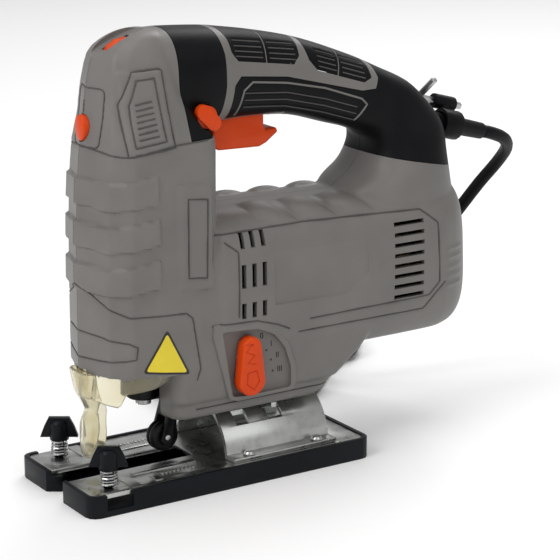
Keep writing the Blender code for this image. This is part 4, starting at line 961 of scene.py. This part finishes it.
def pressGrooves(piece):
    # the skin sinks along each line, and a dark tube lies at the bottom as painted shade in the groove
    routes = grooveRoutes()
    near = KDTree(sum(len(points) for points, closed in routes))
    index = 0
    for points, closed in routes:
        for p in points:
            near.insert(p, index)
            index += 1
    near.balance()
    mesh = piece.data
    moves = []
    for vertex in mesh.vertices:
        gap = near.find(vertex.co)[2] * 1000
        if gap < groovePlan["farthest"]:
            fall = math.exp(-((gap / groovePlan["reach"]) ** 2))
            moves.append((vertex.index, vertex.normal * (-0.001 * groovePlan["depth"] * fall)))
    for index, move in moves:
        mesh.vertices[index].co += move
    # dark tubes sunk along the groove lines stand for the shade inside the grooves: painted shade
    shadeLines = []
    for points, closed in routes:
        sunk = []
        for p in points:
            normal = skin.find_nearest(p)[1]
            sunk.append(p - normal * groovePlan["sunk"] * 0.001)
        shadeLines.append(tubeAlong("shadeLine", sunk, groovePlan["shadeLine"], closed, 6))
    shadeLine = joinAll(shadeLines, "grooveShadeLines")
    shadeLine.data.materials.clear()
    shadeLine.data.materials.append(seamShade)
    return finishPiece(shadeLine, "housing", "grey_plastic")


pressGrooves(outer)
say("grooves")


# grip regions, as outlines pushed across the handle

gripPlan = {
    "gap": 0.35,
    "noseBand": [
        (61.1, 240), (62.3, 200), (63.9, 176.6), (76, 177.3), (86.3, 181.6), (88.8, 200), (88.4, 215),
        (85, 240),
    ],
    "padOne": [(86, 240), (92.5, 222), (93.3, 216), (97, 211.4), (113.4, 209.1), (113.8, 240)],
    "padTwo": [(114.6, 240), (114.2, 209), (130, 206.8), (133.5, 210.5), (134, 218), (131, 240)],
    "padThree": [(134, 240), (138.5, 212), (139.5, 208), (144, 202.6), (156, 198.9), (160, 215), (160, 240)],
    "padFour": [
        (160.8, 240), (160.8, 215), (156.8, 198.6), (172.5, 193.8), (177.3, 195.6), (177, 201),
        (170, 225), (168, 240),
    ],
    "boot": [
        (92.6, 182.6), (94.8, 199.5), (98.4, 203.6), (126, 200.8), (171, 189.5), (179.3, 189.8),
        (182, 195.2), (181, 200.5), (170, 240), (252, 240), (252, 140.2), (165, 158.3), (150, 150),
        (131.5, 165), (129, 182.3),
    ],
}


def shrunk(outline, amount):
    # the outline moved inwards by amount, corner by corner
    area = sum(a[0] * b[1] - b[0] * a[1] for a, b in zip(outline, outline[1:] + outline[:1]))
    sign = 1 if area > 0 else -1
    out = []
    count = len(outline)
    for k in range(count):
        p, q, r = Vector(outline[k - 1]), Vector(outline[k]), Vector(outline[(k + 1) % count])
        a, b = (q - p).normalized(), (r - q).normalized()
        na, nb = Vector((-a.y, a.x)) * sign, Vector((-b.y, b.x)) * sign
        way = (na + nb) / max(0.4, 1 + na.dot(nb))
        out.append(tuple(q + way * amount))
    return out


def gripPrisms(amount):
    names = [key for key in gripPlan if key != "gap"]
    return [prismX(key, shrunk(gripPlan[key], amount), -60, 60) for key in names]


def makeShell():
    combine(outer, [roundedCutter("knobFrame", cutPlan["knobFrame"], 27, 31.3, 0.9)], "UNION")
    kept = keepSolid()
    combine(inner, [kept])
    say("inner room")
    combine(outer, [inner])
    say("hollowed")
    combine(outer, [makeCutters()])
    pocket, room = dialPocket()
    combine(outer, [pocket])
    combine(outer, [room])
    say("openings")
    grip = copyOf(outer, "grip")
    lower, upper = gripPrisms(-gripPlan["gap"] / 2), gripPrisms(gripPlan["gap"] / 2)
    combine(outer, [joinAll(lower[1:], "padsGrown")])
    combine(outer, [lower[0]])
    combine(grip, [joinAll(upper, "pads")], "INTERSECT")
    say("grips")
    halves = {}
    for side, name in ((1, "Left"), (-1, "Right")):
        low, high = ((0.12, -60, -20), (80, 400, 300)) if side > 0 else ((-80, -60, -20), (-0.12, 400, 300))
        for label, source in (("housing", outer), ("grip", grip)):
            half = copyOf(source, label + name)
            combine(half, [boxOf("half", low, high)], "INTERSECT")
            halves[label + name] = half
    remove(outer, grip)
    return halves


halves = makeShell()
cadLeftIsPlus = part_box("housing_left")[1][0] > 0.01
for label, slotName in (("housing", "grey_plastic"), ("grip", "black_rubber")):
    for name, plus in (("Left", True), ("Right", False)):
        node = label + ("_left" if plus == cadLeftIsPlus else "_right")
        piece = halves[label + name]
        piece.data.materials.clear()
        finishPiece(piece, "housing", slotName, node, angle=38)
say("housing and grips")


# marks and trims laid on the skin

def patchOnSide(name, corners, lift, paint, rounding=1.6):
    # a thin label: a filled outline cut into a grid and thrown on the skin
    flat = prismX(name, corners, 0, 1)
    activate(flat)
    bpy.ops.object.mode_set(mode="EDIT")
    bpy.ops.mesh.select_mode(type="EDGE")
    bpy.ops.mesh.select_all(action="DESELECT")
    mesh = bmesh.from_edit_mesh(flat.data)
    for edge in mesh.edges:
        edge.select = abs(edge.verts[0].co.x - edge.verts[1].co.x) > 1e-4
    bmesh.update_edit_mesh(flat.data)
    bpy.ops.mesh.bevel(offset=rounding * 0.001, segments=4, affect="EDGES")
    bpy.ops.object.mode_set(mode="OBJECT")
    voxelRemesh(flat, 0.0004)
    mesh = flat.data
    for vertex in mesh.vertices:
        # the ray is nudged, because one along the mesh's own lines can slip between two faces
        start = Vector((0.08, vertex.co.y + 1.3e-5, vertex.co.z + 1.7e-5))
        base = skin.ray_cast(start, Vector((-1, 1e-4, 1e-4)))[0]
        side = vertex.co.x > 0.0005
        vertex.co.x = base.x + (lift if side else lift - 0.25) * 0.001
    mesh.materials.clear()
    mesh.materials.append(paint)
    return flat


def makeLabel():
    corners = [(48.2, 86.4), (34.9, 65.6), (61.2, 61.2)]
    border = patchOnSide("labelBorder", corners, 0.12, darkInk, 2.2)
    face = patchOnSide("labelFace", shrunk(corners, 1.1), 0.22, yellowPaint, 1.4)
    for piece in (border, face):
        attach(piece, "housing")


makeLabel()
say("label")


def flatText(name, words, size, behind, up, x, paint, depth=0.15):
    deselectAll()
    bpy.ops.object.text_add(location=(0, 0, 0))
    made = bpy.context.object
    made.name = name
    made.data.body = words
    made.data.size = size * 0.001
    made.data.extrude = depth * 0.001
    made.data.align_x = "CENTER"
    made.data.align_y = "CENTER"
    bpy.ops.object.convert(target="MESH")
    made = bpy.context.object
    turn = Matrix(((0, 0, 1), (1, 0, 0), (0, 1, 0))).to_4x4()
    made.data.transform(Matrix.Translation(at(x, behind, up)) @ turn)
    tidyNormals(made)
    made.data.materials.clear()
    made.data.materials.append(paint)
    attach(made, "housing")
    return made


markPlan = {
    "x": 28.34,
    "size": 4.2,
    "places": [("0", 103.5, 73.5), ("I", 109.2, 68.6), ("II", 112.8, 62), ("III", 114.2, 54.5)],
    "dotStep": 4.2,
    "dotX": (28.2, 28.42),
    "dotRadius": 0.6,
}


def makeMarks():
    for words, behind, up in markPlan["places"]:
        flatText("mark" + words, words, markPlan["size"], behind, up, markPlan["x"], darkInk)
    for words, behind, up in markPlan["places"]:
        way = Vector((94 - behind, 53 - up)).normalized() * markPlan["dotStep"]
        ends = [at(x, behind + way.x, up + way.y) for x in markPlan["dotX"]]
        dot = rodOf("markDot", *ends, markPlan["dotRadius"], sides=16)
        bevelEdges(dot, 0.05, 1)
        dot.data.materials.append(darkInk)
        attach(dot, "housing")


makeMarks()
say("marks")


def makeTrim():
    # the thin pale line round the grip's lower panel
    line = [
        (97.3, 184), (100.3, 196.5), (105.3, 200.2), (125.8, 197.9), (148.2, 193.2), (170.5, 185.6),
        (173.6, 182.5), (168, 174.5),
    ]
    strips = []
    for side in (1, -1):
        strips.append(tubeAlong("trim", laidOnSide(line, side, False), 0.55, sides=8))
    trim = joinAll(strips, "gripTrim")
    trim.data.materials.clear()
    return finishPiece(trim, "housing", "grey_plastic")


makeTrim()
say("trim")


# the other CAD pieces, with broken edges

refinePlan = {
    "base_plate": 0.5, "sole_cover": 0.9, "bevel_bracket": 0.5, "trigger": 1.0, "speed_dial": 0.35,
    "lock_button": 0.9, "laser_button": 0.8, "orbit_knob": 1.0, "guide_fork": 0.4, "guide_roller": 0.5,
    "roller_pin": 0.25, "plunger": 0.3, "clamp_collar": 0.7, "hex_key": 0.5, "key_clip": 0.5,
    "strain_relief": 0.5, "plug_body": 1.6, "plug_pin_left": 0.6, "plug_pin_right": 0.6,
    "fence_screw_left": 0.6, "fence_screw_right": 0.6, "bevel_screw": 0.4,
}
bracketNotches = [((14, 93.5, 25.5), (34, 101, 40)), ((14, 113, 25.5), (34, 121.5, 40))]


def refine(node, width):
    source = frame["nodes"][node]
    piece = dropIn(node + "Detailed", source.data.copy())
    piece.data.transform(source.matrix_world)
    activate(piece)
    bpy.ops.object.mode_set(mode="EDIT")
    bpy.ops.mesh.select_all(action="SELECT")
    bpy.ops.mesh.remove_doubles(threshold=2e-6)
    if node != "bevel_bracket":
        bpy.ops.mesh.dissolve_limited(angle_limit=math.radians(4))
    bpy.ops.object.mode_set(mode="OBJECT")
    if node == "bevel_bracket":
        combine(piece, [boxOf("notch", low, high) for low, high in bracketNotches])
    bevelEdges(piece, width, 2, 36)
    piece.data.materials.clear()
    return finishPiece(piece, bodyOf.get(node, "housing"), slotOf[node], node, angle=40)


detailed = {}
for node, width in refinePlan.items():
    detailed[node] = refine(node, width)
say("broken edges")


def engraveKnob():
    # a zig-zag for the saw stroke and an arrow head on the hub
    knob = detailed["orbit_knob"]
    face = max(v.co.x for v in knob.data.vertices)
    along, across = Vector((-0.13, 0.99)), Vector((0.99, 0.13))
    tools = []
    for line, closed in (
        ([(20, -2.4), (19.4, 2.6), (16.4, -2.0), (13.4, 2.8), (10.4, -1.8), (8.8, 2.8)], False),
        ([(-4.2, 0), (-0.6, -3.6), (5.2, -2.6), (5.2, 2.6), (-0.6, 3.6)], True),
    ):
        spots = [at(0, *(Vector((94, 53)) + along * t + across * u)) for t, u in line]
        points = [Vector((face, spot.y, spot.z)) for spot in spots]
        tools.append(tubeAlong("engraving", points, 0.42, closed))
    combine(knob, tools)
    smoothBy(knob, 40)


def makePlateDetails():
    bits = []
    for side in (-1, 1):
        for low, high in (
            ((15.5, 34, 10.2), (19, 70, 11.1)),
            ((24.2, 40, 10.2), (31.5, 44, 11.0)),
            ((9, 134, 10.2), (30, 138, 10.9)),
        ):
            bits.append(boxOf("ridge", (low[0] * side, *low[1:]), (high[0] * side, *high[1:])))
        for k in range(9):
            tooth = (22.4 * side, 47 + 2.2 * k, 10.2), (24.6 * side, 48.2 + 2.2 * k, 11.0)
            bits.append(boxOf("tooth", *tooth))
        bits.append(boxOf("clampPlate", (18.5 * side, 25.2, 10.2), (34.5 * side, 31, 11.1)))
    for bit in bits:
        bevelEdges(bit, 0.25, 2, 20)
    detail = joinAll(bits, "plateRidges")
    detail.data.materials.clear()
    finishPiece(detail, bodyOf["base_plate"], "zinc_steel")


guardPlan = {
    "wall": 1.7,
    "path": [
        (0, 17.0), (9, 19.2), (17, 23.6), (21.6, 29.2), (23.8, 35.2), (24.3, 41), (24.4, 47.5),
        (24.2, 54),
    ],
    "foot": [(14, 50), (17.5, 50), (23, 47.8), (27.5, 46.6), (30.5, 53.4), (45.7, 54.3), (54.2, 57.9)],
    "fin": [
        (63.1, 14.1, 9.5, 5.5), (57, 14.8, 8.6, 6.2), (51, 15.8, 7.6, 7), (45.5, 18.3, 5.6, 8),
        (42, 19.4, 4.5, 8), (38.5, 17.8, 4.2, 9.5), (35, 16.6, 4.5, 10.5), (28, 16.4, 4.6, 10.6),
        (21, 16.7, 4.4, 9), (18, 18.3, 3.4, 5.5),
    ],
    "finEdge": (
        (-1, 1), (-1, 0.45), (-0.82, 0.12), (-0.35, 0), (0.35, 0), (0.82, 0.12), (1, 0.45), (1, 1),
    ),
    "finWall": 1.5,
}


def thicken(piece, wall):
    solid = piece.modifiers.new("wall", "SOLIDIFY")
    solid.thickness = wall * 0.001
    solid.offset = 0
    applyAll(piece)
    return piece


def sheetOf(name, rows):
    count = len(rows[0])
    points = [p for row in rows for p in row]
    faces = []
    for r in range(len(rows) - 1):
        for k in range(count - 1):
            a = r * count + k
            faces.append((a, a + 1, a + count + 1, a + count))
    return fromFaces(name, points, faces)


def makeGuard():
    path = [tuple(p) for p in easedRows(guardPlan["path"], 5)]
    path = [(-x, b) for x, b in path[:0:-1]] + path
    foot = guardPlan["foot"]
    columns = []
    for x, b in path:
        low = float(np.interp(b, [f[0] for f in foot], [f[1] for f in foot]))
        columns.append([at(x * (1 - 0.02 * i), b, 63.1 + (low - 63.1) * i / 6) for i in range(7)])
    shell = thicken(sheetOf("guardShell", columns), guardPlan["wall"])
    rows = []
    for up, front, half, depth in easedRows(guardPlan["fin"], 4):
        rows.append([at(half * x, front + depth * y, up) for x, y in guardPlan["finEdge"]])
    fin = thicken(sheetOf("guardFin", rows), guardPlan["finWall"])
    guard = joinAll([shell, fin], "clearGuard")
    bevelEdges(guard, 0.3, 2, 50)
    guard.data.materials.clear()
    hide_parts("chip_guard")
    return finishPiece(guard, bodyOf.get("chip_guard", "housing"), "clear_plastic", angle=50)


engraveKnob()
makePlateDetails()
makeGuard()
say("knob, bracket, plate and guard")

for node, source in frame["nodes"].items():
    if source.hide_render:
        continue
    source.data.materials.clear()
    source.data.materials.append(finish[slotOf[node]])
say("carried-over pieces")
